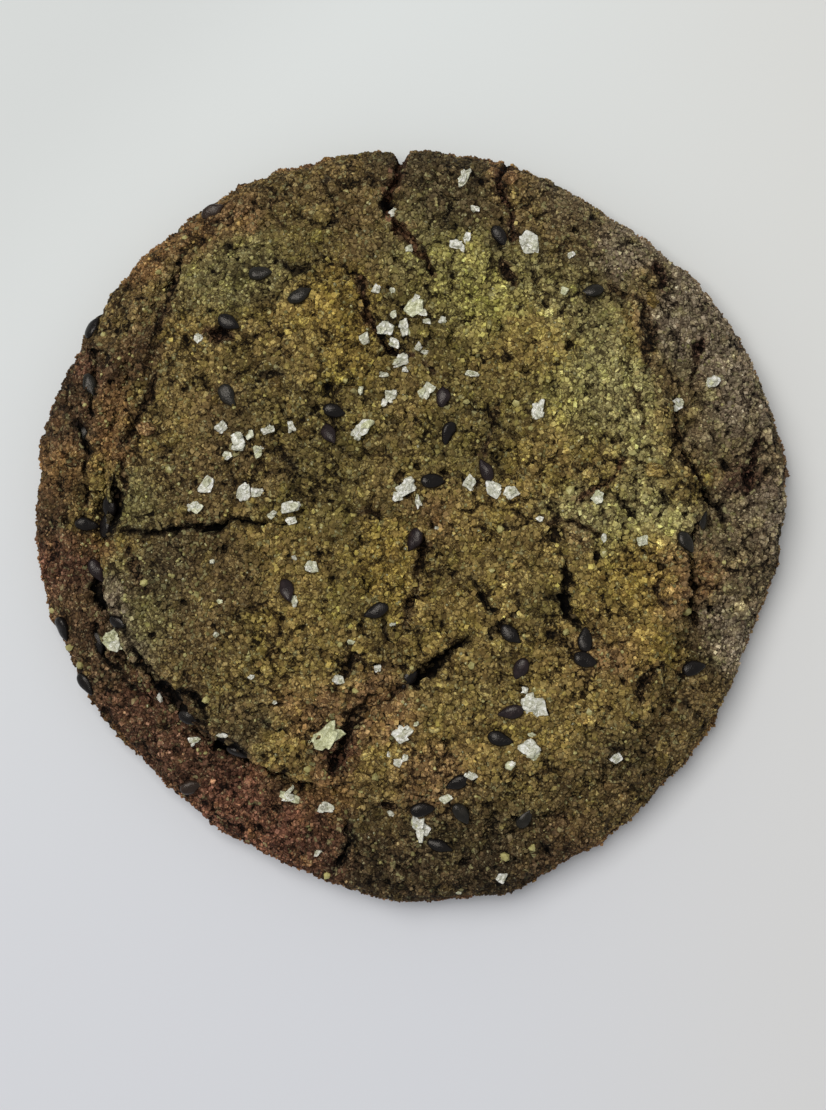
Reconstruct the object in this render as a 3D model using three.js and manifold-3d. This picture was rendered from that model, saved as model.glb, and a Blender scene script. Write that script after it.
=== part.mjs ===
// A matcha sesame cookie: one thick, craggy biscuit with a raised, cracked middle, a lower
// crumbly rim, black sesame seeds and coarse salt flakes baked onto its top.
//
// Millimetres, +Z up. The flat underside lies on z = 0 and the origin is under the middle of
// the outline. +X is the right of the picture and +Y its top. Angles run anticlockwise from +X.

import * as THREE from 'three';
import Module from 'manifold-3d';

// ------------------------------------------------------------------ driving dimensions
const COOKIE_ACROSS = 90;         // widest part of the edge, from left to right
const GIRTH_HEIGHT = 3.4;         // height of that widest part above the table
const MIDDLE_HEIGHT = 14.2;       // top of the raised middle, before its crags
const LIP_ROUNDING = 0.9;         // how far the raised middle drops as it nears its lip
const TOE_INSET = 1.7;            // how far the flat underside stays inside the girth
const CREST_INSET = 5.0;          // from the girth in to the crest of the rim
const WALL_BULGE = 0.3;           // of the step's wall, outwards at half its height

// Radius of the widest outline, every 15 degrees.
const GIRTH_RADII = [
  45.0, 45.7, 45.5, 44.7, 44.5, 44.9, 44.8, 45.1, 45.0, 45.0, 44.8, 44.8,
  44.8, 43.9, 43.0, 42.5, 42.8, 43.7, 45.1, 45.4, 44.6, 43.7, 43.3, 43.3,
];

// The step from the raised middle down to the rim, every 20 degrees. It is a deep undercut
// crevice at the lower left, a plain step at the right and a soft slope at the top.
const LIP_RADII = [
  33.4, 32.4, 34.6, 34.2, 34.4, 35.2, 37.4, 37.2, 34.6,
  34.8, 36.2, 34.4, 32.4, 31.4, 32.6, 34.4, 34.8, 32.6,
];
const LIP_HEIGHTS = [
  12.7, 12.3, 12.0, 11.6, 11.4, 11.5, 11.8, 12.2, 12.6,
  12.9, 13.2, 13.3, 13.0, 12.3, 11.9, 12.0, 12.4, 12.7,
];
const FOOT_RUNS = [
  1.7, 2.4, 3.4, 4.4, 4.8, 4.6, 3.4, 2.2, 1.3,
  0.9, -0.3, -0.7, -0.4, 1.6, 3.8, 3.2, 2.0, 1.4,
];
const FOOT_HEIGHTS = [
  8.9, 9.2, 9.7, 10.0, 10.1, 10.0, 9.6, 9.1, 8.3,
  7.6, 6.4, 5.9, 6.6, 8.6, 9.7, 9.6, 9.1, 8.7,
];
const CREST_HEIGHTS = [
  8.9, 9.0, 9.2, 9.4, 9.5, 9.5, 9.3, 9.2, 9.3,
  9.1, 8.7, 8.4, 8.3, 8.5, 8.7, 8.8, 8.7, 8.7,
];

// Places are read off the picture in its pixels.
const PICTURE_ACROSS = 746;       // the cookie's width in those pixels
const PICTURE_MIDDLE = [408, 525.5];  // the pixel at the middle of the cookie
const PICTURE_AXIS = [413, 555];  // the pixel straight below the viewpoint
const EYE_HEIGHT = 300;           // of the viewpoint above the table

// Broad swells of the raised middle and rim: pixel, radius and height.
const SWELLS = [
  { at: [232, 640], radius: 13, height: 0.7 },
  { at: [250, 440], radius: 12, height: 0.3 },
  { at: [590, 690], radius: 12, height: 0.5 },
  { at: [470, 300], radius: 11, height: 0.4 },
  { at: [590, 400], radius: 12, height: 0.4 },
  { at: [104, 430], radius: 7, height: 1.3 },
  { at: [405, 740], radius: 8, height: -0.9 },
  { at: [345, 745], radius: 5, height: -1.0 },
  { at: [660, 420], radius: 6, height: -0.5 },
];

// Cracks, each a row of pixels with its width and depth. An open one runs out of the edge, and
// its first few points may be cut right through.
const THROUGH_HEIGHT = -6;        // where the walls of such a cut would meet
const CRACKS = [
  { width: 1.5, depth: 5.0, open: true, through: 2,
    path: [[407, 134], [402, 162], [392, 188], [388, 206], [398, 228], [422, 254], [431, 272]] },
  { width: 1.0, depth: 2.2, open: true,
    path: [[514, 140], [511, 168], [501, 188], [510, 206], [515, 224], [511, 240]] },
  { width: 0.9, depth: 2.6,
    path: [[122, 528], [143, 531], [164, 532], [193, 527], [213, 530], [230, 519], [252, 522],
      [271, 526], [294, 520]] },
  { width: 1.1, depth: 1.7,
    path: [[351, 264], [362, 288], [370, 318], [379, 337], [398, 353], [425, 363], [440, 373]] },
  { width: 1.6, depth: 1.9,
    path: [[430, 524], [423, 552], [415, 573], [420, 585], [410, 602], [403, 626]] },
  { width: 1.8, depth: 3.4,
    path: [[474, 635], [453, 648], [441, 664], [424, 679], [402, 692], [376, 703], [355, 717],
      [341, 737], [326, 772]] },
  { width: 0.7, depth: 1.4, path: [[472, 578], [481, 594], [493, 612]] },
  { width: 0.7, depth: 1.3, path: [[546, 528], [570, 523], [600, 534]] },
  { width: 0.7, depth: 1.4, path: [[576, 500], [600, 486], [621, 464]] },
  { width: 0.9, depth: 1.8, path: [[569, 560], [563, 596], [570, 620], [581, 636]] },
  { width: 0.9, depth: 1.8, path: [[699, 476], [708, 497], [726, 516]] },
  { width: 1.0, depth: 2.2, path: [[694, 546], [690, 578], [691, 602], [699, 624]] },
  { width: 0.8, depth: 1.5, path: [[768, 424], [756, 452], [749, 474], [747, 492]] },
  { width: 1.0, depth: 1.8, path: [[346, 824], [343, 846], [335, 868]] },
];

// Sesame seeds: length, width and thickness, then pixel and heading of each.
const SEED_SIZE = [3.1, 1.95, 1.2];
const SEEDS = [
  [94, 329, 60], [213, 211, 20], [261, 273, 8], [300, 295, 27], [229, 323, -27],
  [500, 237, -55], [592, 291, 8], [90, 386, -70], [84, 432, 45], [228, 396, -60],
  [335, 411, -15], [330, 435, -58], [443, 398, 78], [448, 433, 72], [433, 481, 2],
  [486, 470, -60], [415, 540, 62], [110, 505, 72], [107, 526, 80], [87, 524, -10],
  [97, 571, -60], [376, 611, 20], [287, 591, -75], [64, 628, -80], [99, 643, -75],
  [121, 626, -40], [87, 684, -52], [190, 722, -20], [192, 786, 20], [240, 753, -15],
  [408, 679, 55], [511, 635, -40], [585, 640, 88], [585, 660, -20], [521, 669, 60],
  [693, 668, 12], [511, 712, 10], [500, 739, -15], [457, 782, 25], [423, 809, 5],
  [462, 814, -60], [525, 818, 60], [440, 846, -20], [686, 542, -57], [702, 522, 65],
];

// Salt flakes: pixel, longer side, shorter side and heading.
const FLAKE_THICKNESS = 0.55;
const FLAKES = [
  [463, 179, 2.3, 1.3, 50], [457, 246, 2.1, 1.4, -20], [530, 242, 3.0, 2.6, 80],
  [415, 307, 3.1, 1.9, 10], [385, 328, 2.0, 1.8, 0], [404, 328, 2.4, 1.1, 85],
  [400, 362, 2.4, 1.6, 40], [391, 395, 1.7, 1.6, 0], [426, 391, 2.2, 1.4, 85],
  [362, 430, 3.0, 1.5, 52], [538, 410, 2.9, 1.5, 70], [237, 438, 1.9, 1.7, 15],
  [221, 427, 1.5, 1.3, 60], [243, 492, 2.2, 1.7, 75], [207, 484, 2.3, 1.6, 80],
  [195, 508, 2.0, 1.5, -40], [291, 507, 2.6, 1.7, 15], [405, 489, 2.7, 1.6, 35],
  [470, 483, 2.0, 1.5, 60], [493, 490, 2.4, 1.8, -50], [511, 493, 1.9, 1.6, 30],
  [598, 497, 1.8, 1.5, 80], [712, 381, 2.0, 1.6, 0], [676, 405, 1.8, 1.4, 10],
  [642, 541, 1.5, 1.4, 0], [311, 566, 1.9, 1.6, 10], [118, 639, 3.0, 2.3, -15],
  [324, 738, 4.4, 2.3, 38], [402, 733, 2.7, 1.9, 35], [535, 706, 3.2, 2.9, 80],
  [531, 748, 2.8, 2.2, -60], [616, 757, 1.6, 1.4, 45], [421, 826, 3.4, 1.6, -32],
  [326, 808, 2.4, 1.3, -10], [288, 797, 3.2, 1.0, -6], [472, 775, 1.4, 1.2, -40],
  [338, 679, 1.6, 1.4, 0],
];

// Crags of the baked surface: wavelength and height of each size of bump.
const CRAGS = [
  { wavelength: 11.0, height: 0.55 },
  { wavelength: 5.2, height: 0.5 },
  { wavelength: 2.9, height: 0.4 },
];
const CREST_WANDER = { wavelength: 13, height: 1.1 };
const EDGE_CRUMBLE = { wavelength: 4, height: 0.35 };
const SIDE_CRAG = { wavelength: 3.4, height: 0.45 };

// Rings of the mesh, counted from the centre. Ring k has six times k points.
const SECTORS = 6;
const LIP_RING = 17;
const FOOT_RING = 19;
const CREST_RING = 23;
const GIRTH_RING = 26;

// ------------------------------------------------------------------ shared helpers
const TURN = 2 * Math.PI;
const DEGREE = TURN / 360;

// Smooth closed curve through values spaced evenly round the cookie.
function around(values, angle) {
  const place = (angle / TURN) * values.length;
  const start = Math.floor(place);
  const f = place - start;
  const at = (k) => values[(start + k + 2 * values.length) % values.length];
  const [before, from, to, after] = [at(-1), at(0), at(1), at(2)];
  const bend = 2 * before - 5 * from + 4 * to - after;
  return from + 0.5 * f * (to - before + f * (bend + f * (3 * (from - to) + after - before)));
}

const mix = (a, b, f) => a + (b - a) * f;
const fade = (f) => f * f * (3 - 2 * f);

// A repeatable draw from -1 to 1 for each whole-numbered place.
function draw(i, j) {
  const wave = Math.sin(i * 127.1 + j * 311.7) * 43758.5453;
  return 2 * (wave - Math.floor(wave)) - 1;
}

// Smooth bumps of about one wavelength across, from -1 to 1.
function bumps(x, y, wavelength) {
  const [u, v] = [x / wavelength, y / wavelength];
  const [i, j] = [Math.floor(u), Math.floor(v)];
  const [fu, fv] = [fade(u - i), fade(v - j)];
  const near = mix(draw(i, j), draw(i + 1, j), fu);
  const far = mix(draw(i, j + 1), draw(i + 1, j + 1), fu);
  return mix(near, far, fv);
}

// The place under a pixel of the picture, at a height above the table.
function placeAt(pixel, height) {
  const mm = COOKIE_ACROSS / PICTURE_ACROSS;
  const nearness = (EYE_HEIGHT - height) / (EYE_HEIGHT - GIRTH_HEIGHT);
  const [right, down] = pixel.map((value, i) => {
    const spread = (value - PICTURE_AXIS[i]) * nearness;
    return (PICTURE_AXIS[i] + spread - PICTURE_MIDDLE[i]) * mm;
  });
  return [right, -down];
}

// ------------------------------------------------------------------ the baked form
// Crags and broad swells, added to the top's height at a place.
function relief(x, y) {
  let height = 0;
  for (const crag of CRAGS) height += crag.height * bumps(x, y, crag.wavelength);
  for (const swell of SWELLS) {
    const [sx, sy] = placeAt(swell.at, MIDDLE_HEIGHT - 2);
    const near = Math.hypot(x - sx, y - sy) / swell.radius;
    height += swell.height * Math.exp(-near * near);
  }
  return height;
}

// Bumps read off the side of the cookie, at an angle and a height.
function sideBumps({ wavelength, height: size }, angle, height) {
  const radius = COOKIE_ACROSS / 2;
  const [x, y] = [radius * Math.cos(angle), radius * Math.sin(angle)];
  return size * bumps(x + 2 * height, y - 2 * height, wavelength);
}

// Radius of the widest outline, with its crumbly wander, and of the rim's crest inside it.
const girthAt = (angle) => around(GIRTH_RADII, angle) + sideBumps(EDGE_CRUMBLE, angle, 0);
const crestAt = (angle) => girthAt(angle) - CREST_INSET + sideBumps(CREST_WANDER, angle, 0);

// Radius and height of the top's surface where ring k crosses an angle, before the relief.
function topAt(k, angle) {
  const lip = around(LIP_RADII, angle);
  const lipHeight = around(LIP_HEIGHTS, angle);
  if (k <= LIP_RING) {
    const out = k / LIP_RING;
    const dome = mix(MIDDLE_HEIGHT, lipHeight + LIP_ROUNDING, out * out);
    return [lip * out, dome - LIP_ROUNDING * out ** 14];
  }
  const foot = lip + around(FOOT_RUNS, angle);
  const footHeight = around(FOOT_HEIGHTS, angle);
  if (k <= FOOT_RING) {
    const down = (k - LIP_RING) / (FOOT_RING - LIP_RING);
    const bulge = 4 * WALL_BULGE * down * (1 - down);
    return [mix(lip, foot, down) + bulge, mix(lipHeight, footHeight, down)];
  }
  const crest = crestAt(angle);
  const crestHeight = around(CREST_HEIGHTS, angle);
  if (k <= CREST_RING) {
    const out = (k - FOOT_RING) / (CREST_RING - FOOT_RING);
    const climb = Math.sin(Math.min(1, 1.6 * out) * TURN / 4);
    return [mix(foot, crest, out), mix(footHeight, crestHeight, climb)];
  }
  const round = (k - CREST_RING) / (GIRTH_RING - CREST_RING) * TURN / 4;
  return [
    mix(crest, girthAt(angle), Math.sin(round)),
    mix(GIRTH_HEIGHT, crestHeight, Math.cos(round)),
  ];
}

// One corner of the top's mesh. Past the rim's crest its relief turns into crags of the side.
function topCorner(k, angle) {
  const [radius, height] = topAt(k, angle);
  const turned = Math.max(0, (k - CREST_RING) / (GIRTH_RING - CREST_RING));
  const reach = radius + turned * sideBumps(SIDE_CRAG, angle, height);
  const [x, y] = [reach * Math.cos(angle), reach * Math.sin(angle)];
  return [x, y, height + (1 - turned) * relief(x, y)];
}

// The outer loops under the girth, down to the edge of the flat underside.
const UNDER_LOOPS = [
  { inset: 0.3, height: 2.0 },
  { inset: 0.8, height: 0.8 },
  { inset: TOE_INSET, height: 0 },
];

// The whole body as one closed mesh: top rings, side loops, then a flat underside whose
// loops halve in number towards the middle.
function bodyGeometry() {
  const corners = [];
  const faces = [];
  const rings = [[corners.push(topCorner(0, 0)) - 1]];
  for (let k = 1; k <= GIRTH_RING; k++) {
    const ring = [];
    for (let i = 0; i < SECTORS * k; i++) {
      ring.push(corners.push(topCorner(k, (i / (SECTORS * k)) * TURN)) - 1);
    }
    rings.push(ring);
  }
  for (let k = 1; k <= GIRTH_RING; k++) {
    const [inner, outer] = [rings[k - 1], rings[k]];
    for (let sector = 0; sector < SECTORS; sector++) {
      for (let j = 0; j < k; j++) {
        const a = outer[sector * k + j];
        const b = outer[(sector * k + j + 1) % outer.length];
        const c = inner[(sector * (k - 1) + j) % inner.length];
        faces.push([a, b, c]);
        if (j < k - 1) faces.push([c, b, inner[(sector * (k - 1) + j + 1) % inner.length]]);
      }
    }
  }
  let loop = rings[GIRTH_RING];
  const angles = loop.map((_, i) => (i / loop.length) * TURN);
  for (const { inset, height } of UNDER_LOOPS) {
    const below = angles.map((angle) => {
      const radius = girthAt(angle) - inset + sideBumps(SIDE_CRAG, angle, height);
      return corners.push([radius * Math.cos(angle), radius * Math.sin(angle), height]) - 1;
    });
    loop.forEach((corner, i) => {
      const next = (i + 1) % loop.length;
      faces.push([corner, below[i], below[next]], [corner, below[next], loop[next]]);
    });
    loop = below;
  }
  for (let inward = 0.7; loop.length % 2 === 0; inward *= 0.6) {
    const fewer = loop.filter((_, i) => i % 2 === 0).map((_, i) => {
      const angle = (i / (loop.length / 2)) * TURN;
      const radius = inward * around(GIRTH_RADII, angle);
      return corners.push([radius * Math.cos(angle), radius * Math.sin(angle), 0]) - 1;
    });
    fewer.forEach((corner, i) => {
      const next = (i + 1) % fewer.length;
      const [a, b, c] = [loop[2 * i], loop[2 * i + 1], loop[(2 * i + 2) % loop.length]];
      faces.push([a, corner, b], [corner, fewer[next], b], [b, fewer[next], c]);
    });
    loop = fewer;
  }
  for (let i = 1; i < loop.length - 1; i++) faces.push([loop[0], loop[i + 1], loop[i]]);
  return closedGeometry(corners, faces);
}

function closedGeometry(corners, faces) {
  const geometry = new THREE.BufferGeometry();
  geometry.setAttribute('position', new THREE.Float32BufferAttribute(corners.flat(), 3));
  geometry.setIndex(faces.flat());
  return geometry;
}

// ------------------------------------------------------------------ cracks and toppings
// Height and slope of a mesh's top under a place.
function surfaceFinder(mesh) {
  const ray = new THREE.Raycaster();
  const down = new THREE.Vector3(0, 0, -1);
  return (x, y) => {
    ray.set(new THREE.Vector3(x, y, 2 * MIDDLE_HEIGHT), down);
    const hit = ray.intersectObject(mesh)[0];
    return hit ? { height: hit.point.z, normal: hit.face.normal.clone() } : null;
  };
}

// A pixel's place on the surface, found from a first guess of its height.
function settle(pixel, surface) {
  let height = MIDDLE_HEIGHT - 2;
  let found = null;
  for (let pass = 0; pass < 3; pass++) {
    const [x, y] = placeAt(pixel, height);
    const hit = surface(x, y);
    found = { x, y, height: hit ? hit.height : GIRTH_HEIGHT, normal: hit?.normal };
    height = found.height;
  }
  return found;
}

// A blade for one crack: a row of sections, each straight above the surface and a V below it.
const BLADE_TOP = 24;
function crackGeometry({ path, width, depth, open, through = 0 }, surface) {
  const points = path.map((pixel) => settle(pixel, surface));
  const corners = [];
  const faces = [];
  const side = 5;
  points.forEach((point, i) => {
    const [back, ahead] = [points[Math.max(0, i - 1)], points[Math.min(points.length - 1, i + 1)]];
    const [dx, dy] = [ahead.x - back.x, ahead.y - back.y];
    const length = Math.hypot(dx, dy);
    const along = i / (points.length - 1);
    const fullness = Math.sin(Math.PI * (open ? 0.5 + 0.46 * along : 0.06 + 0.88 * along)) ** 0.6;
    const half = 0.5 * width * fullness;
    const [nx, ny] = [(-dy / length) * half, (dx / length) * half];
    const groove = Math.max(0.6, point.height - depth * fullness);
    const cut = i < through ? THROUGH_HEIGHT : groove;
    const shoulder = point.height - 0.1;
    corners.push(
      [point.x + nx, point.y + ny, BLADE_TOP],
      [point.x + nx, point.y + ny, shoulder],
      [point.x, point.y, cut],
      [point.x - nx, point.y - ny, shoulder],
      [point.x - nx, point.y - ny, BLADE_TOP],
    );
    if (i === 0) return;
    for (let j = 0; j < side; j++) {
      const [a, b] = [(i - 1) * side + j, (i - 1) * side + ((j + 1) % side)];
      faces.push([a, b + side, b], [a, a + side, b + side]);
    }
  });
  const last = (points.length - 1) * side;
  for (let j = 1; j < side - 1; j++) {
    faces.push([0, j, j + 1], [last, last + j + 1, last + j]);
  }
  return closedGeometry(corners, faces);
}

// A frame that lies on the surface at a place, with X along a heading.
function lyingOn(point, heading, lift, tilt) {
  const normal = new THREE.Vector3(0, 0, 1).lerp(point.normal ?? new THREE.Vector3(0, 0, 1), 0.6);
  normal.normalize();
  const ahead = new THREE.Vector3(Math.cos(heading * DEGREE), Math.sin(heading * DEGREE), 0);
  const across = new THREE.Vector3().crossVectors(normal, ahead).normalize();
  ahead.crossVectors(across, normal);
  const frame = new THREE.Matrix4().makeBasis(ahead, across, normal);
  frame.multiply(new THREE.Matrix4().makeRotationX(tilt));
  const place = new THREE.Vector3(point.x, point.y, point.height).addScaledVector(normal, lift);
  return frame.setPosition(place);
}

// A sesame seed: a flat drop, blunt at one end and nearly pointed at the other.
function seedGeometry(point, heading) {
  const [length, width, thickness] = SEED_SIZE;
  const seed = new THREE.SphereGeometry(0.5, 5, 4);
  seed.rotateZ(TURN / 4);
  const corner = new THREE.Vector3();
  const places = seed.getAttribute('position');
  for (let i = 0; i < places.count; i++) {
    corner.fromBufferAttribute(places, i);
    const taper = 1 - 0.5 * corner.x;
    places.setXYZ(i, corner.x * length, corner.y * width * taper, corner.z * thickness * taper);
  }
  seed.applyMatrix4(lyingOn(point, heading, 0.12 * thickness, 0));
  return seed;
}

// A salt flake: a thin five-sided plate, a little tilted.
function flakeGeometry(point, long, short, heading, number) {
  const flake = new THREE.CylinderGeometry(0.5, 0.5, FLAKE_THICKNESS, 5);
  flake.rotateX(TURN / 4);
  flake.scale(long, short, 1);
  flake.applyMatrix4(lyingOn(point, heading, 0.05, 0.18 * draw(number, 7)));
  return flake;
}

// ------------------------------------------------------------------ joining
const wasm = await Module();
wasm.setup();

// A closed solid from a geometry, with corners that lie on each other made one.
function solidFrom(geometry) {
  const places = geometry.getAttribute('position');
  const index = geometry.getIndex();
  const known = new Map();
  const vertProperties = [];
  const newNumber = [];
  for (let i = 0; i < places.count; i++) {
    const corner = [places.getX(i), places.getY(i), places.getZ(i)];
    const key = corner.map((value) => Math.round(value * 1e4)).join(' ');
    if (!known.has(key)) {
      known.set(key, vertProperties.length / 3);
      vertProperties.push(...corner);
    }
    newNumber.push(known.get(key));
  }
  const triVerts = [];
  for (let i = 0; i < index.count; i += 3) {
    const face = [0, 1, 2].map((j) => newNumber[index.getX(i + j)]);
    if (new Set(face).size === 3) triVerts.push(...face);
  }
  return new wasm.Manifold(new wasm.Mesh({
    numProp: 3,
    vertProperties: new Float32Array(vertProperties),
    triVerts: new Uint32Array(triVerts),
  }));
}

function geometryFrom(solid) {
  const { vertProperties, triVerts } = solid.getMesh();
  const geometry = new THREE.BufferGeometry();
  geometry.setAttribute('position', new THREE.Float32BufferAttribute(vertProperties, 3));
  geometry.setIndex([...triVerts]);
  return geometry;
}

function bakedCookie() {
  const body = bodyGeometry();
  const surface = surfaceFinder(new THREE.Mesh(body));
  let solid = solidFrom(body);
  for (const crack of CRACKS) solid = solid.subtract(solidFrom(crackGeometry(crack, surface)));
  for (const [px, py, heading] of SEEDS) {
    solid = solid.add(solidFrom(seedGeometry(settle([px, py], surface), heading)));
  }
  FLAKES.forEach(([px, py, long, short, heading], number) => {
    const point = settle([px, py], surface);
    solid = solid.add(solidFrom(flakeGeometry(point, long, short, heading, number)));
  });
  return geometryFrom(solid);
}

// ------------------------------------------------------------------ the part
const geometry = bakedCookie();
geometry.computeBoundingBox();
const { min, max } = geometry.boundingBox;
geometry.translate(-(min.x + max.x) / 2, -(min.y + max.y) / 2, 0);
geometry.computeVertexNormals();

const crust = new THREE.MeshStandardMaterial({
  color: 0x5a4d2c,
  roughness: 0.85,
  metalness: 0,
});

const cookie = new THREE.Mesh(geometry, crust);
cookie.name = 'cookie';

const part = new THREE.Group();
part.add(cookie);

export default part;
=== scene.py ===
"""A matcha sesame cookie: a thick, craggy, browned biscuit with a raised cracked middle, black
sesame seeds, coarse salt flakes and sugar grains, on a pale surface under soft daylight.

Metres, +Z up. The flat underside lies on z = 0, +X is the right of the picture, +Y its top.
"""

import math

import bpy
import numpy as np
from mathutils import Matrix, Vector
from mathutils.bvhtree import BVHTree


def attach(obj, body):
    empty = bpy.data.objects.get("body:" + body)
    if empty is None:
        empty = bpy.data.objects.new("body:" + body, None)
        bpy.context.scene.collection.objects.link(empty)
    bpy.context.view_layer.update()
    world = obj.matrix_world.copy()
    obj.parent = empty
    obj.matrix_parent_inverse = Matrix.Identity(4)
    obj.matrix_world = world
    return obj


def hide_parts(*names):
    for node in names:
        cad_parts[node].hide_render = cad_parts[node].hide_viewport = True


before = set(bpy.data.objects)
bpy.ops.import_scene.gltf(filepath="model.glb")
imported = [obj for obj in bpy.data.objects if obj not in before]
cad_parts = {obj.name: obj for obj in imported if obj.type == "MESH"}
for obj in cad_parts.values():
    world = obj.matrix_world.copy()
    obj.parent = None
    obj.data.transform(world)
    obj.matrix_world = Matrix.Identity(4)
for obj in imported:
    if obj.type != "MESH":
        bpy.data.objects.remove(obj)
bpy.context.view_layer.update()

MM = 0.001
TURN = 2 * math.pi

# ---------------------------------------------------------------- the cookie's own sizes
COOKIE_ACROSS = 90 * MM           # widest part of the edge, from left to right
GIRTH_HEIGHT = 3.4 * MM           # height of that widest part above the table
MIDDLE_HEIGHT = 14.2 * MM         # top of the raised middle, before its crags
LIP_ROUNDING = 0.9 * MM           # how far the raised middle drops as it nears its lip
TOE_INSET = 1.7 * MM              # how far the flat underside stays inside the girth
CREST_INSET = 5.0 * MM            # from the girth in to the crest of the rim
WALL_BULGE = 0.3 * MM             # of the step's wall, outwards at half its height
UNDER_INSET = 0.35 * MM           # of the underside's own edge, inside the toe
THINNEST = 0.6 * MM               # dough left under the deepest crack

# How far the side below the girth draws in, by height above the table.
TOE_HEIGHTS = [0, 0.8 * MM, 2 * MM, GIRTH_HEIGHT]
TOE_INSETS = [TOE_INSET, 0.8 * MM, 0.3 * MM, 0]

# Radius of the widest outline, every 15 degrees anticlockwise from +X.
GIRTH_RADII = MM * np.array([
    45.0, 45.7, 45.5, 44.7, 44.5, 44.9, 44.8, 45.1, 45.0, 45.0, 44.8, 44.8,
    44.8, 43.9, 43.0, 42.5, 42.8, 43.7, 45.1, 45.4, 44.6, 43.7, 43.3, 43.3])

# The step from the raised middle down to the rim, every 20 degrees.
LIP_RADII = MM * np.array([
    33.4, 32.4, 34.6, 34.2, 34.4, 35.2, 37.4, 37.2, 34.6,
    34.8, 36.2, 34.4, 32.4, 31.4, 32.6, 34.4, 34.8, 32.6])
LIP_HEIGHTS = MM * np.array([
    12.7, 12.3, 12.0, 11.6, 11.4, 11.5, 11.8, 12.2, 12.6,
    12.9, 13.2, 13.3, 13.0, 12.3, 11.9, 12.0, 12.4, 12.7])
FOOT_RUNS = MM * np.array([
    1.7, 2.4, 3.4, 4.4, 4.8, 4.6, 3.4, 2.2, 1.3,
    0.9, -0.3, -0.7, -0.4, 1.6, 3.8, 3.2, 2.0, 1.4])
FOOT_HEIGHTS = MM * np.array([
    8.9, 9.2, 9.7, 10.0, 10.1, 10.0, 9.6, 9.1, 8.3,
    7.6, 6.4, 5.9, 6.6, 8.6, 9.7, 9.6, 9.1, 8.7])
CREST_HEIGHTS = MM * np.array([
    8.9, 9.0, 9.2, 9.4, 9.5, 9.5, 9.3, 9.2, 9.3,
    9.1, 8.7, 8.4, 8.3, 8.5, 8.7, 8.8, 8.7, 8.7])

# Bumps of the baked surface: wavelength and height.
CRAGS = [(11.0 * MM, 0.55 * MM), (5.2 * MM, 0.5 * MM), (2.9 * MM, 0.4 * MM)]
CREST_WANDER = (13 * MM, 1.1 * MM)
EDGE_CRUMBLE = (4 * MM, 0.35 * MM)
SIDE_CRAG = (3.4 * MM, 0.45 * MM)

# Stops of the profile, in steps outwards from the middle.
LIP_STEP, FOOT_STEP, CREST_STEP, GIRTH_STEP = 17, 19, 23, 26

# ---------------------------------------------------------------- places in the picture
# Places are read off the picture, in its pixels.
PICTURE = (826, 1110)
PICTURE_AXIS = (413, 555)         # the pixel straight below the camera
COOKIE_MIDDLE = (408, 525.5)
COOKIE_PIXELS = 746               # the cookie's width
EYE_HEIGHT = 300 * MM             # of the camera above the table
PIXEL = COOKIE_ACROSS / COOKIE_PIXELS
NEAR_TOP = MIDDLE_HEIGHT - 2 * MM       # a first guess of the height that shows at a pixel
SPOT_HEIGHT = 0.75 * MIDDLE_HEIGHT      # of spots on the top that needn't be exact

# Broad swells of the top: pixel, radius and height in mm.
SWELLS = [
    (232, 640, 13, 0.7), (250, 440, 12, 0.3), (590, 690, 12, 0.5),
    (470, 300, 11, 0.4), (590, 400, 12, 0.4), (104, 430, 7, 1.3),
    (405, 740, 8, -0.9), (345, 745, 5, -1.0), (660, 420, 6, -0.5)]

# Flat-topped ridges: half their width and height in mm, and path.
RIDGES = [
    (2.5, 1.5, [(158, 290), (133, 345), (119, 395), (110, 440), (104, 478), (100, 512)]),
    (1.6, 0.9, [(655, 385), (657, 415), (655, 450), (668, 478)]),
    (1.5, 0.8, [(672, 548), (676, 575), (676, 605)]),
    (1.2, 0.7, [(628, 296), (638, 320), (643, 345), (642, 372)])]

# Cracks: width and depth in mm, wall tint of stain and painted shade, whether it runs out of the
# edge, and path.
CRACKS = [
    (1.3, 3.4, "rust", True,
     [(407, 134), (402, 162), (392, 188), (388, 206), (398, 228), (422, 254), (431, 272)]),
    (1.2, 2.2, "wine", True,
     [(514, 140), (506, 165), (498, 186), (508, 203), (513, 216), (511, 240)]),
    (0.85, 2.6, "deep_shade", False,
     [(122, 528), (143, 531), (164, 532), (193, 527), (213, 530), (230, 519), (252, 522),
      (271, 526), (294, 520)]),
    (1.2, 1.5, "wine", False,
     [(357, 270), (364, 290), (369, 318), (379, 337), (396, 353), (412, 356)]),
    (1.3, 1.9, "umber", False,
     [(430, 524), (423, 552), (415, 573), (420, 585), (410, 602), (403, 626)]),
    (1.5, 3.4, "deep_shade", False,
     [(470, 637), (453, 648), (441, 661), (430, 672), (414, 682), (400, 688)]),
    (1.9, 1.7, "umber", False,
     [(408, 686), (392, 693), (374, 702), (358, 714), (347, 730), (341, 748)]),
    (0.7, 1.4, "deep_shade", False, [(472, 578), (481, 594), (493, 612)]),
    (0.7, 1.3, "umber", False, [(548, 524), (562, 519), (578, 523), (600, 534)]),
    (0.7, 1.2, "rust", False, [(576, 500), (596, 488), (609, 480), (620, 462)]),
    (0.9, 1.8, "deep_shade", False,
     [(566, 562), (567, 585), (563, 600), (570, 616), (580, 630)]),
    (1.0, 1.6, "umber", False, [(677, 408), (677, 432), (683, 456), (698, 474), (702, 486)]),
    (1.1, 2.2, "deep_shade", False, [(698, 480), (706, 497), (718, 508), (724, 520)]),
    (1.1, 2.2, "umber", False,
     [(698, 520), (691, 546), (691, 578), (690, 602), (697, 624)]),
    (0.8, 1.2, "wine", False, [(764, 428), (757, 446), (752, 462), (747, 492)]),
    (1.3, 1.8, "deep_shade", False, [(346, 824), (346, 846), (334, 870)]),
]
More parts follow.
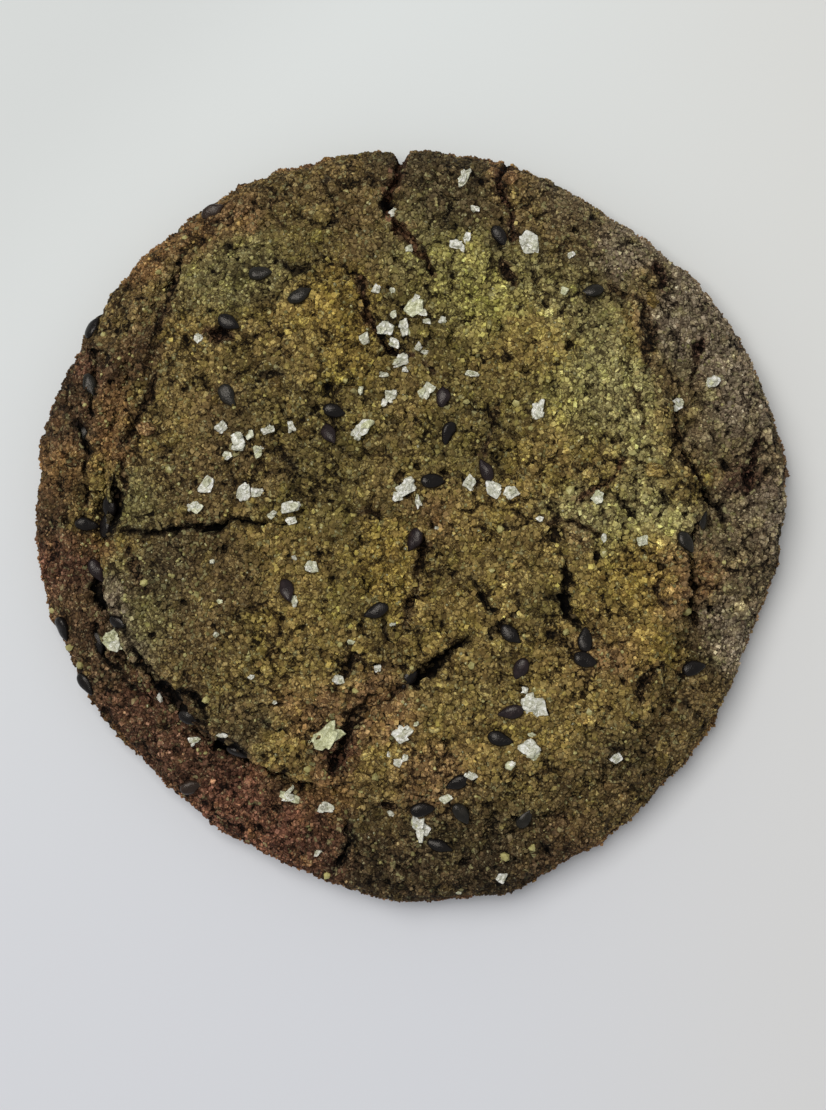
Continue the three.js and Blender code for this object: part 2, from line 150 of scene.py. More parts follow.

# Finer cracks, grooves and hollows: width and depth in mm, wall tint of stain and painted shade, and
# path.
FISSURES = [
    (1.0, 1.8, "umber", [(93, 345), (95, 370), (94, 396)]),
    (0.9, 1.6, "deep_shade", [(93, 380), (93, 402), (92, 415)]),
    (1.5, 2.2, "deep_shade", [(75, 424), (83, 428), (86, 445), (88, 458)]),
    (1.0, 1.2, "umber", [(88, 455), (86, 480), (88, 505)]),
    (1.0, 0.9, "umber", [(184, 250), (180, 268), (171, 290), (160, 318), (155, 334)]),
    (1.4, 1.1, "umber", [(156, 372), (147, 392), (141, 412), (133, 430), (120, 447)]),
    (0.8, 0.9, "umber", [(122, 455), (126, 478), (118, 498)]),
    (1.5, 3.0, "deep_shade", [(113, 480), (114, 500), (111, 520), (106, 540)]),
    (1.1, 1.8, "deep_shade", [(103, 560), (98, 586), (103, 606), (116, 621), (129, 635)]),
    (1.3, 2.2, "deep_shade", [(97, 628), (99, 646), (106, 662), (120, 668)]),
    (1.9, 3.0, "deep_shade", [(134, 648), (146, 668), (157, 685), (171, 698), (185, 712), (199, 722)]),
    (1.0, 1.4, "deep_shade", [(162, 690), (184, 692), (200, 703), (207, 722)]),
    (1.5, 2.4, "deep_shade", [(205, 733), (222, 742), (238, 750), (250, 758)]),
    (0.8, 1.2, "wine", [(262, 764), (282, 772), (300, 782)]),
    (0.5, 0.8, "deep_shade", [(261, 722), (273, 729), (286, 732)]),
    (0.8, 0.9, "deep_shade", [(128, 680), (133, 688)]),
    (0.9, 0.9, "umber", [(158, 724), (168, 731)]),
    (0.5, 0.8, "umber", [(61, 478), (60, 502)]),
    (1.1, 0.6, "umber", [(127, 548), (133, 568), (146, 590)]),
    (2.3, 1.6, "wine", [(205, 333), (219, 335), (230, 339)]),
    (0.9, 1.0, "deep_shade", [(224, 245), (238, 246)]),
    (0.5, 0.8, "deep_shade", [(281, 261), (292, 269), (310, 270)]),
    (0.4, 0.6, "deep_shade", [(326, 182), (334, 200)]),
    (0.4, 0.7, "deep_shade", [(317, 209), (322, 224), (341, 220)]),
    (0.4, 0.6, "umber", [(269, 200), (275, 214), (281, 224)]),
    (0.5, 0.7, "deep_shade", [(255, 376), (270, 372), (284, 374)]),
    (0.4, 0.6, "deep_shade", [(283, 457), (297, 467)]),
    (0.4, 0.6, "umber", [(361, 512), (383, 511)]),
    (0.5, 0.7, "deep_shade", [(383, 612), (385, 628), (388, 642)]),
    (0.7, 0.8, "umber", [(422, 361), (434, 371)]),
    (1.2, 1.0, "wine", [(502, 262), (509, 273), (516, 286)]),
    (0.4, 0.6, "deep_shade", [(452, 200), (446, 222)]),
    (0.4, 0.6, "umber", [(610, 285), (623, 296), (641, 299)]),
    (1.1, 1.0, "wine", [(655, 262), (660, 275), (665, 289)]),
    (1.5, 1.0, "umber", [(643, 304), (648, 322), (648, 346), (646, 372)]),
    (0.9, 0.8, "umber", [(633, 387), (638, 402), (643, 428)]),
    (1.6, 0.9, "wine", [(702, 342), (699, 356)]),
    (0.8, 0.7, "umber", [(697, 360), (692, 382)]),
    (2.6, 1.5, "wine", [(744, 466), (748, 482)]),
    (0.8, 0.9, "deep_shade", [(720, 460), (728, 468)]),
    (0.7, 1.0, "deep_shade", [(661, 490), (665, 504)]),
    (0.7, 1.0, "deep_shade", [(622, 503), (628, 510), (634, 517)]),
    (1.0, 0.9, "umber", [(657, 568), (666, 567)]),
    (0.5, 0.8, "umber", [(660, 580), (657, 598), (667, 606)]),
    (0.6, 0.8, "deep_shade", [(599, 552), (594, 562)]),
    (1.2, 1.2, "umber", [(662, 664), (652, 676), (641, 688), (638, 703)]),
    (0.4, 0.7, "deep_shade", [(682, 702), (696, 714)]),
    (0.6, 0.7, "umber", [(630, 718), (640, 729)]),
    (0.5, 0.8, "deep_shade", [(545, 598), (560, 596), (566, 604)]),
    (0.4, 0.7, "deep_shade", [(546, 636), (562, 633)]),
    (0.6, 0.9, "deep_shade", [(489, 634), (495, 626), (506, 622)]),
    (0.6, 0.8, "deep_shade", [(513, 616), (519, 604)]),
    (1.6, 1.4, "umber", [(344, 680), (349, 667), (358, 656)]),
    (1.7, 2.0, "wine", [(349, 728), (343, 746), (337, 760), (330, 774)]),
    (0.8, 0.9, "deep_shade", [(543, 843), (551, 856)]),
    (0.6, 0.8, "deep_shade", [(458, 864), (470, 860)]),
    (0.6, 0.8, "umber", [(380, 803), (396, 806)]),
    (0.5, 0.7, "umber", [(500, 400), (493, 428), (484, 455)]),
]

# Sesame seeds: usual length, width and thickness, coats, and each seed's pixel, the heading of
# its tip in degrees and its coat.
SEED_SIZE = (3.05 * MM, 1.68 * MM, 1.05 * MM)
SEED_COATS = {"black": (0.006, 0.005, 0.005), "dust_and_shade": (0.013, 0.012, 0.010),
              "plum": (0.015, 0.010, 0.011), "brown": (0.026, 0.017, 0.013)}
SEEDS = [
    (94, 329, 60, "black"), (213, 211, 20, "brown"), (261, 273, 8, "dust_and_shade"),
    (300, 295, 30, "dust_and_shade"), (229, 323, -27, "black"), (500, 237, -55, "black"),
    (592, 291, 188, "dust_and_shade"), (90, 386, -70, "dust_and_shade"), (84, 432, 45, "dust_and_shade"),
    (228, 396, -60, "dust_and_shade"), (335, 411, -15, "black"), (330, 435, -62, "plum"),
    (443, 398, 264, "plum"), (448, 433, 250, "black"), (433, 481, 2, "black"),
    (486, 470, 118, "plum"), (415, 540, 242, "plum"), (110, 505, 72, "black"),
    (107, 526, 80, "black"), (87, 524, -10, "black"), (97, 571, -60, "plum"),
    (376, 611, 203, "black"), (287, 591, -75, "plum"), (64, 628, -80, "black"),
    (99, 643, -75, "black"), (121, 624, -40, "black"), (87, 684, -52, "black"),
    (190, 718, -30, "black"), (192, 786, 20, "brown"), (238, 751, -25, "black"),
    (408, 679, 240, "black"), (511, 635, -40, "black"), (585, 640, 88, "black"),
    (585, 660, -20, "black"), (521, 669, 240, "plum"), (693, 668, 12, "black"),
    (511, 712, 190, "plum"), (500, 739, -15, "black"), (457, 782, 205, "black"),
    (423, 809, 5, "black"), (462, 814, -60, "dust_and_shade"), (525, 818, 60, "dust_and_shade"),
    (440, 846, -20, "black"), (686, 542, -57, "dust_and_shade"), (702, 522, 65, "dust_and_shade")]

# Salt flakes: pixel, longer and shorter side in mm, and heading in degrees.
FLAKES = [
    (463, 179, 2.3, 1.3, 50), (457, 246, 2.1, 1.4, -20), (530, 242, 3.0, 2.6, 80),
    (415, 307, 3.1, 1.9, 10), (385, 328, 2.0, 1.8, 0), (404, 328, 2.4, 1.1, 85),
    (400, 362, 2.4, 1.6, 40), (391, 395, 1.7, 1.6, 0), (426, 391, 2.2, 1.4, 85),
    (362, 430, 3.0, 1.5, 52), (538, 410, 2.9, 1.5, 70), (237, 438, 1.9, 1.7, 15),
    (221, 427, 1.5, 1.3, 60), (243, 492, 2.2, 1.7, 75), (207, 484, 2.3, 1.6, 80),
    (195, 508, 2.0, 1.5, -40), (291, 507, 2.6, 1.7, 15), (405, 489, 2.7, 1.6, 35),
    (470, 483, 2.0, 1.5, 60), (493, 490, 2.4, 1.8, -50), (511, 493, 1.9, 1.6, 30),
    (598, 497, 1.8, 1.5, 80), (712, 381, 2.0, 1.6, 0), (676, 405, 1.8, 1.4, 10),
    (642, 541, 1.5, 1.4, 0), (311, 566, 1.9, 1.6, 10), (118, 641, 3.3, 2.6, -15),
    (324, 738, 4.4, 2.3, 38), (402, 733, 2.7, 1.9, 35), (535, 706, 3.2, 2.9, 80),
    (531, 748, 2.8, 2.2, -60), (616, 757, 1.6, 1.4, 45), (421, 826, 3.4, 1.6, -32),
    (326, 808, 2.4, 1.3, -10), (288, 797, 3.2, 1.0, -6), (472, 775, 1.4, 1.2, -40),
    (338, 679, 1.6, 1.4, 0)]
SMALL_FLAKES = [
    (475, 209, 1.2, 0.7, 0), (394, 213, 1.2, 1.0, 30), (467, 238, 1.4, 0.9, 80),
    (571, 255, 1.0, 0.8, 20), (564, 292, 1.1, 0.9, 70), (409, 249, 1.1, 1.0, 0),
    (376, 289, 1.4, 1.0, 75), (392, 290, 0.8, 0.7, 0), (394, 314, 1.1, 0.7, 80),
    (427, 322, 1.0, 0.7, 10), (443, 320, 1.0, 0.8, 0), (364, 339, 1.5, 1.3, 20),
    (394, 343, 1.4, 1.1, 0), (419, 347, 1.1, 1.0, 45), (424, 352, 0.9, 0.6, 0),
    (405, 370, 0.9, 0.7, 0), (384, 375, 1.4, 0.6, 0), (385, 403, 1.1, 0.9, 80),
    (361, 391, 1.1, 0.7, 80), (472, 374, 1.9, 0.8, 0), (199, 338, 1.2, 1.1, 0),
    (250, 435, 1.5, 1.3, 70), (238, 448, 1.8, 0.9, 10), (258, 452, 1.7, 1.0, 75),
    (227, 456, 1.2, 1.1, 0), (268, 430, 1.7, 0.9, 20), (291, 427, 1.4, 0.9, 85),
    (257, 492, 1.4, 1.2, 0), (272, 514, 1.5, 0.7, 30), (291, 520, 1.6, 1.0, 0),
    (397, 497, 1.4, 1.1, 0), (418, 501, 1.7, 0.7, 80), (604, 537, 1.0, 0.8, 80),
    (540, 519, 0.9, 0.8, 0), (295, 601, 1.2, 0.9, 80), (398, 761, 1.4, 1.0, 80),
    (525, 690, 0.9, 0.8, 0), (510, 766, 1.4, 1.2, 30), (446, 799, 1.5, 1.1, 10),
    (318, 853, 1.4, 0.6, 45), (501, 877, 1.4, 1.3, 60), (459, 893, 0.9, 0.5, 0),
    (223, 735, 1.4, 0.6, -10), (194, 740, 1.7, 0.8, 20), (377, 668, 1.0, 0.9, 0),
    (251, 677, 0.8, 0.7, 0), (391, 813, 1.1, 0.8, -40), (390, 755, 0.9, 0.7, 0),
    (405, 758, 1.0, 0.8, 60), (160, 698, 1.4, 0.7, -60), (213, 562, 0.7, 0.6, 0),
    (219, 601, 0.8, 0.6, 0), (294, 558, 0.8, 0.6, -30), (393, 625, 0.9, 0.4, 10),
    (350, 642, 0.9, 0.7, 0), (216, 634, 0.8, 0.6, 0), (275, 702, 0.7, 0.6, 0),
    (437, 528, 0.6, 0.4, 0), (417, 724, 0.8, 0.5, 30), (532, 734, 1.1, 0.7, 0)]

# The clearest sugar grains: pixel and size in mm.
SUGAR = [
    (185, 239, 0.8), (159, 273, 0.9), (125, 301, 0.8), (104, 336, 0.9), (345, 381, 0.9),
    (466, 402, 0.8), (516, 404, 0.9), (531, 428, 0.8), (546, 487, 0.9), (570, 490, 1.3),
    (500, 529, 0.9), (491, 571, 0.9), (467, 331, 0.8), (590, 712, 1.0), (566, 632, 1.2),
    (471, 666, 1.0), (686, 611, 1.3), (603, 553, 0.9), (375, 777, 0.9), (505, 857, 1.1),
    (532, 847, 0.9), (308, 768, 1.4), (322, 772, 1.0), (53, 610, 0.8), (71, 647, 1.0),
    (81, 665, 0.8), (340, 644, 0.9), (328, 874, 1.0), (206, 700, 1.0), (197, 595, 0.8),
    (145, 583, 0.9), (632, 453, 0.9), (650, 460, 0.8), (170, 470, 1.0), (355, 690, 1.0)]

# Tints of the baked dough, as they look in daylight (red, green, blue out of 255), and deep_shade,
# the painted shade of the depths of cracks and hollows.
TINTS = {
    "deep_shade": (30, 22, 16), "wine": (58, 36, 28), "brick": (66, 45, 33), "umber": (62, 46, 31),
    "bark": (60, 50, 33), "mud": (76, 62, 38), "clay": (86, 64, 40), "rust": (82, 54, 41),
    "smoke": (86, 74, 54), "ash": (93, 82, 67), "moss": (79, 68, 38), "olive": (88, 74, 43),
    "fern": (88, 80, 50), "khaki": (98, 82, 46), "gold": (106, 89, 44), "tan": (104, 80, 53),
    "lime": (113, 105, 60), "sage": (112, 104, 68), "straw": (138, 121, 74), "cocoa": (52, 41, 27),
    "base": (96, 70, 42)}

# Where the top shows each tint: pixel and radius in mm of its patches.
# Small patches on the left lip (fern, ash and smoke, 2 mm) are grey-green crust and painted
# highlight of its lit edge.
PATCHES = {
    "wine": [(748, 478, 3), (335, 755, 3)],
    "brick": [(320, 850, 4), (180, 755, 5), (135, 710, 5), (60, 560, 4), (78, 365, 2.5)],
    "umber": [(560, 850, 5), (100, 670, 4), (75, 620, 4), (55, 505, 3), (66, 410, 4),
        (115, 360, 3), (142, 345, 4), (270, 790, 3)],
    "bark": [(400, 165, 4), (450, 190, 6), (500, 247, 2.5), (160, 570, 6), (250, 715, 4),
        (614, 742, 5), (450, 830, 5), (520, 830, 5)],
    "mud": [(270, 200, 5), (340, 185, 6), (520, 205, 5), (570, 245, 5), (700, 700, 5),
        (660, 750, 5), (610, 810, 6), (105, 320, 4), (470, 800, 4), (160, 300, 3), (225, 410, 5),
        (185, 490, 5), (215, 560, 5), (212, 603, 6), (190, 655, 5), (225, 695, 4), (260, 470, 5),
        (360, 240, 5), (665, 370, 3), (690, 400, 4), (690, 640, 4), (670, 700, 4), (580, 780, 5),
        (390, 820, 5)],
    "clay": [(60, 472, 4), (155, 258, 4), (190, 225, 4), (115, 410, 3), (125, 440, 3),
        (95, 545, 3), (330, 790, 4)],
    "rust": [(285, 830, 5), (235, 800, 5), (44, 565, 2)],
    # smoke at (155, 668): grey-green crust and painted highlight on the lit lip.
    "smoke": [(570, 205, 4), (755, 450, 4), (738, 505, 3), (750, 570, 6), (155, 668, 2),
        (700, 440, 4), (720, 540, 4)],
    # ash at (110, 592), (124, 618) and (140, 645): grey-green crust and painted highlight on the lit
    # lip.
    "ash": [(625, 250, 5), (680, 300, 5), (700, 345, 5), (730, 400, 5), (765, 520, 5),
        (735, 630, 5), (110, 592, 2), (124, 618, 2), (140, 645, 2)],
    "moss": [(300, 245, 5), (260, 400, 5), (310, 420, 6), (300, 500, 5), (342, 600, 6),
        (370, 400, 4), (410, 320, 5), (600, 285, 3), (460, 350, 5), (510, 400, 5), (460, 420, 5),
        (470, 460, 4), (540, 600, 4)],
    "olive": [(95, 505, 3), (225, 350, 4), (185, 385, 4), (160, 430, 4), (250, 670, 5),
        (290, 370, 5), (400, 390, 5), (430, 510, 5), (510, 560, 5), (440, 570, 4), (500, 650, 4),
        (470, 690, 5), (430, 690, 4), (520, 790, 5)],
    # fern at (112, 565): grey-green crust and painted highlight on the lit lip.
    "fern": [(112, 565, 2), (128, 500, 2), (205, 275, 5), (250, 270, 5), (140, 500, 4),
        (150, 630, 4), (410, 250, 5), (530, 275, 4), (570, 270, 4), (595, 322, 5)],
    "khaki": [(650, 280, 3), (103, 475, 3), (185, 330, 4), (130, 540, 3), (290, 745, 5),
        (270, 540, 4), (310, 570, 5), (288, 645, 6), (330, 650, 5), (300, 330, 5), (630, 330, 3),
        (510, 360, 5), (550, 450, 5), (600, 460, 5), (660, 430, 3), (690, 480, 4), (480, 530, 5),
        (550, 560, 4), (598, 612, 5), (480, 600, 5), (450, 640, 5), (550, 655, 5), (430, 730, 5),
        (480, 740, 5), (585, 690, 5), (570, 730, 5), (630, 710, 4), (380, 780, 4)],
    "gold": [(385, 580, 5), (340, 315, 5), (350, 360, 5), (540, 340, 5), (622, 560, 5),
        (640, 590, 4), (650, 650, 4)],
    "tan": [(510, 172, 2), (240, 205, 3), (310, 712, 4), (638, 325, 1.6), (641, 348, 1.6),
        (432, 518, 3), (580, 535, 2), (665, 590, 4), (705, 580, 3), (610, 650, 4), (385, 712, 4),
        (438, 770, 5)],
    "lime": [(460, 270, 5), (490, 300, 6), (560, 395, 5)],
    "sage": [(558, 303, 3), (600, 360, 6), (600, 405, 6), (640, 440, 4), (600, 520, 5),
        (650, 510, 5)],
    "straw": [(541, 338, 4)],
    "cocoa": [(490, 860, 6), (410, 870, 6), (375, 850, 4)]}

# Lumps of dough that stand out: pixel, size in mm and tint.
LUMPS = [
    (511, 177, 2.3, "tan"), (636, 417, 1.7, "sage"), (655, 470, 2.3, "khaki"),
    (372, 699, 1.9, "clay"), (384, 694, 1.5, "clay"), (146, 428, 2, "tan"),
    (120, 455, 1.9, "clay"), (707, 575, 2.1, "tan"), (704, 592, 1.7, "tan"),
    (157, 676, 1.1, "bark"), (175, 707, 1.2, "bark"), (213, 737, 1.3, "umber"),
    (108, 655, 1.2, "umber"), (229, 742, 1, "bark"), (141, 661, 1, "umber"),
    (652, 300, 1.9, "khaki"), (716, 598, 1.8, "smoke")]

# Stretches of the top with a smoother crust: pixel and radius in mm.
SMOOTH_CRUST = [
    (155, 570, 8), (175, 640, 7), (170, 480, 6), (200, 690, 5), (180, 340, 5), (600, 380, 7),
    (578, 535, 3), (230, 285, 5), (570, 240, 5), (420, 840, 5)]


# ---------------------------------------------------------------- shared helpers
def curve_between(before, near, far, after, f):
    """Smooth curve, a share f of the way from near to far, led by the points beside them."""
    bend = 2 * before - 5 * near + 4 * far - after
    return near + 0.5 * f * (far - before + f * (bend + f * (3 * (near - far) + after - before)))


def around(values, angle):
    """Smooth closed curve through values spaced evenly round the cookie."""
    place = angle / TURN * len(values)
    start = np.floor(place).astype(int)
    beside = (values[(start + k) % len(values)] for k in (-1, 0, 1, 2))
    return curve_between(*beside, place - start)


def mix(a, b, f):
    return a + (b - a) * f


def fade(f):
    return f * f * (3 - 2 * f)


def ramp(value, low, high):
    """Smooth rise from 0 at low to 1 at high."""
    return fade(np.clip((value - low) / (high - low), 0, 1))


def draw(i, j):
    """A repeatable draw from -1 to 1 for each whole-numbered place."""
    wave = np.sin(i * 127.1 + j * 311.7) * 43758.5453
    return 2 * (wave - np.floor(wave)) - 1


def bumps(x, y, wavelength):
    """Smooth bumps of about one wavelength across, from -1 to 1."""
    u, v = x / wavelength, y / wavelength
    i, j = np.floor(u), np.floor(v)
    fu, fv = fade(u - i), fade(v - j)
    near = mix(draw(i, j), draw(i + 1, j), fu)
    far = mix(draw(i, j + 1), draw(i + 1, j + 1), fu)
    return mix(near, far, fv)


def drift(u, v, wavelength, reach):
    """How far bumps of one wavelength shift each place, in both directions."""
    return reach * np.stack([bumps(u, v, wavelength), bumps(v, u, wavelength)])


def cells(x, y, size):
    """Clumps scattered one to a square: for each place the distance, in sizes, to the middle of
    the nearest clump and of the next one, a draw of the nearest, and how its top slants there."""
    u, v = x / size, y / size
    i, j = np.floor(u), np.floor(v)
    near, second = np.full((2, *np.shape(u)), 9.0)
    pick, slant = np.zeros((2, *np.shape(u)))
    for di in (-1, 0, 1):
        for dj in (-1, 0, 1):
            a, b = i + di, j + dj
            du = u - a - 0.5 - 0.45 * draw(a, b)
            dv = v - b - 0.5 - 0.45 * draw(a + 57, b + 31)
            gap = np.hypot(du, dv)
            closer = gap < near
            second = np.minimum(second, np.maximum(gap, near))
            near = np.minimum(near, gap)
            pick = np.where(closer, draw(a + 11, b + 83), pick)
            slant = np.where(closer, du * draw(a + 5, b) + dv * draw(a, b + 5), slant)
    return near, second, pick, slant


def place_at(px, py, height):
    """The place under a pixel of the picture, at a height above the table."""
    closer = (EYE_HEIGHT - height) / (EYE_HEIGHT - GIRTH_HEIGHT)
    x = (px - PICTURE_AXIS[0]) * closer + PICTURE_AXIS[0] - COOKIE_MIDDLE[0]
    y = (py - PICTURE_AXIS[1]) * closer + PICTURE_AXIS[1] - COOKIE_MIDDLE[1]
    return x * PIXEL, -y * PIXEL


def nearness(x, y, px, py, radius, height=SPOT_HEIGHT):
    """How near each place lies to a pixel's: 1 there, fading over a radius in mm."""
    sx, sy = place_at(px, py, height)
    return np.exp(-((x - sx) ** 2 + (y - sy) ** 2) / (radius * MM) ** 2)


def daylight(tint, gain=1.0):
    """Linear colour of a named tint, brightened to allow for the shade that crags cast."""
    shares = np.array(TINTS[tint]) / 255
    return gain * np.where(shares <= 0.04045, shares / 12.92, ((shares + 0.055) / 1.055) ** 2.4)


def deselect_all():
    if bpy.context.object and bpy.context.object.mode == "EDIT":
        bpy.ops.object.mode_set(mode="OBJECT")
    bpy.ops.object.select_all(action="DESELECT")


def coordinates(piece):
    """The mesh's corners as an array of rows."""
    flat = np.zeros(3 * len(piece.data.vertices))
    piece.data.vertices.foreach_get("co", flat)
    return flat.reshape(-1, 3)


def set_coordinates(piece, rows):
    """Moves the mesh's corners to the rows of an array."""
    piece.data.vertices.foreach_set("co", np.asarray(rows, np.float32).ravel())
    piece.data.update()


def normals(piece):
    """The direction in which the surface faces at each corner."""
    flat = np.zeros(3 * len(piece.data.vertices))
    piece.data.vertices.foreach_get("normal", flat)
    return flat.reshape(-1, 3)


def set_colour(piece, name, rows):
    """Writes one colour for each corner into a named colour attribute."""
    attribute = piece.data.color_attributes.new(name, "FLOAT_COLOR", "POINT")
    full = np.ones((len(piece.data.vertices), 4), np.float32)
    full[:, :3] = rows
    attribute.data.foreach_set("color", full.ravel())


def set_value(piece, name, values):
    """Writes one number for each corner into a named attribute."""
    attribute = piece.data.attributes.new(name, "FLOAT", "POINT")
    attribute.data.foreach_set("value", np.asarray(values, np.float32))


# ---------------------------------------------------------------- the baked form
def side_bumps(kind, angle, height):
    """Bumps read off the side of the cookie, at an angle and a height."""
    wavelength, size = kind
    radius = COOKIE_ACROSS / 2
    x, y = radius * np.cos(angle), radius * np.sin(angle)
    return size * bumps(x + 2 * height, y - 2 * height, wavelength)


def girth_at(angle):
    return around(GIRTH_RADII, angle) + side_bumps(EDGE_CRUMBLE, angle, 0)


def crest_at(angle):
    return girth_at(angle) - CREST_INSET + side_bumps(CREST_WANDER, angle, 0)


def top_at(step, angle):
    """Radius and height of the top where a step of the profile crosses an angle."""
    lip, lip_height = around(LIP_RADII, angle), around(LIP_HEIGHTS, angle)
    foot, foot_height = lip + around(FOOT_RUNS, angle), around(FOOT_HEIGHTS, angle)
    crest, crest_height = crest_at(angle), around(CREST_HEIGHTS, angle)

    out = step / LIP_STEP
    dome = mix(MIDDLE_HEIGHT, lip_height + LIP_ROUNDING, out ** 2) - LIP_ROUNDING * out ** 14
    middle = lip * out, dome

    down = (step - LIP_STEP) / (FOOT_STEP - LIP_STEP)
    bulge = 4 * WALL_BULGE * down * (1 - down)
    wall = mix(lip, foot, down) + bulge, mix(lip_height, foot_height, down)

    over = (step - FOOT_STEP) / (CREST_STEP - FOOT_STEP)
    climb = np.sin(np.clip(1.6 * over, 0, 1) * TURN / 4)
    rim = mix(foot, crest, over), mix(foot_height, crest_height, climb)

    turn = np.clip((step - CREST_STEP) / (GIRTH_STEP - CREST_STEP), 0, 1) * TURN / 4
    side = mix(crest, girth_at(angle), np.sin(turn)), mix(GIRTH_HEIGHT, crest_height, np.cos(turn))

    zones = [step <= LIP_STEP, step <= FOOT_STEP, step <= CREST_STEP]
    radius = np.select(zones, [middle[0], wall[0], rim[0]], side[0])
    height = np.select(zones, [middle[1], wall[1], rim[1]], side[1])
    return radius, height


def relief(x, y):
    """Crags, broad swells and ridges of the top, as a height to add."""
    height = sum(size * bumps(x, y, wavelength) for wavelength, size in CRAGS)
    for px, py, radius, swell in SWELLS:
        height = height + swell * MM * nearness(x, y, px, py, radius, NEAR_TOP)
    for half, rise, path in RIDGES:
        line, along = smooth_path([place_at(px, py, SPOT_HEIGHT) for px, py in path])
        close, gap, nearest = nearest_on(line, x, y, 2 * half * MM)
        narrowing = 1.2 - 0.5 * along[nearest]
        wide = half * MM * narrowing * (1 + 0.15 * bumps(x[close], y[close], 3 * MM))
        ends = ramp(np.minimum(along, 1 - along)[nearest], 0, 0.12)
        height[close] += rise * MM * ends * (1 - ramp(gap / wide, 0.62, 1.05))
    return height


# ---------------------------------------------------------------- body
TOP_RINGS = 160                   # of corners from the middle of the top out to the girth
UNDER_RINGS = 48                  # of the coarser underside
SIDE_LOOPS = 10                   # from the girth down to the underside
UNDER_LOOP = SIDE_LOOPS + 1       # the number that marks the underside's own corners
LIP_RING, FOOT_RING, CREST_RING = 104, 120, 136
PLAN_DROP = 0.01                  # between loops of the flat plan
SURFACE_RUN = 52 * MM             # along the top's surface from its middle to the girth
UNDER_RUN = 0.8 * SURFACE_RUN     # along the underside from its middle to its edge
UNDER_SHIFT = 150 * MM            # moves the underside to bumps that aren't the top's


def round_sheet(name, rings):
    """A disc of radius 1 cut into rings of small triangles: ring k has 6 k corners."""
    deselect_all()
    bpy.ops.mesh.primitive_circle_add(vertices=6, radius=1, fill_type="TRIFAN")
    sheet = bpy.context.object
    sheet.name = name
    coarse = 16 if rings % 16 == 0 else 10
    bpy.ops.object.mode_set(mode="EDIT")
    bpy.ops.mesh.select_all(action="SELECT")
    bpy.ops.mesh.subdivide(number_cuts=coarse - 1)
    bpy.ops.mesh.subdivide(number_cuts=rings // coarse - 1)
    bpy.ops.object.mode_set(mode="OBJECT")
    rows = coordinates(sheet)
    sextant = TURN / 6
    turned = np.arctan2(rows[:, 1], rows[:, 0]) - math.atan2(rows[1, 1], rows[1, 0])
    sector = np.floor((turned % TURN) / sextant + 1e-6)
    slant = turned % TURN - (sector + 0.5) * sextant
    reach = np.hypot(rows[:, 0], rows[:, 1])
    ring = np.round(reach * np.cos(slant) / math.cos(sextant / 2) * rings)
    along = 0.5 + 0.5 * np.tan(slant) / math.tan(sextant / 2)
    angle = np.round((sector + along) * ring) / np.maximum(ring, 1) * sextant
    flat = np.stack([ring * np.cos(angle), ring * np.sin(angle), 0 * ring], 1)
    set_coordinates(sheet, flat / rings)
    return sheet


def select_open_edges():
    bpy.ops.mesh.select_mode(type="EDGE")
    bpy.ops.mesh.select_all(action="DESELECT")
    bpy.ops.mesh.select_non_manifold(
        extend=False, use_wire=False, use_boundary=True, use_multi_face=False,
        use_non_contiguous=False, use_verts=False)


def body_plan():
    """The body's closed mesh laid out flat: the top's rings, the side's loops hung below their
    edge, and the underside. A corner's depth in it tells which loop it belongs to."""
    under = round_sheet("underside", UNDER_RINGS)
    bpy.ops.object.mode_set(mode="EDIT")
    bpy.ops.mesh.select_all(action="SELECT")
    bpy.ops.mesh.flip_normals()
    bpy.ops.transform.translate(value=(0, 0, -UNDER_LOOP * PLAN_DROP))
    bpy.ops.object.mode_set(mode="OBJECT")

    body = round_sheet("cookie_body", TOP_RINGS)
    bpy.ops.object.mode_set(mode="EDIT")
    select_open_edges()
    for _ in range(SIDE_LOOPS):
        bpy.ops.mesh.extrude_region_move(TRANSFORM_OT_translate={"value": (0, 0, -PLAN_DROP)})
    bpy.ops.object.mode_set(mode="OBJECT")

    under.select_set(True)
    bpy.context.view_layer.objects.active = body
    bpy.ops.object.join()
    bpy.ops.object.mode_set(mode="EDIT")
    select_open_edges()
    bpy.ops.mesh.bridge_edge_loops()
    bpy.ops.mesh.select_all(action="SELECT")
    bpy.ops.mesh.quads_convert_to_tris()
    bpy.ops.mesh.normals_make_consistent(inside=False)
    bpy.ops.object.mode_set(mode="OBJECT")
    return body


def top_corner(step, angle):
    """Place of the top's corners. Past the crest, relief turns into crags of the side."""
    radius, height = top_at(step, angle)
    turned = np.clip((step - CREST_STEP) / (GIRTH_STEP - CREST_STEP), 0, 1)
    reach = radius + turned * side_bumps(SIDE_CRAG, angle, height)
    x, y = reach * np.cos(angle), reach * np.sin(angle)
    return np.stack([x, y, height + (1 - turned) * relief(x, y)], 1)


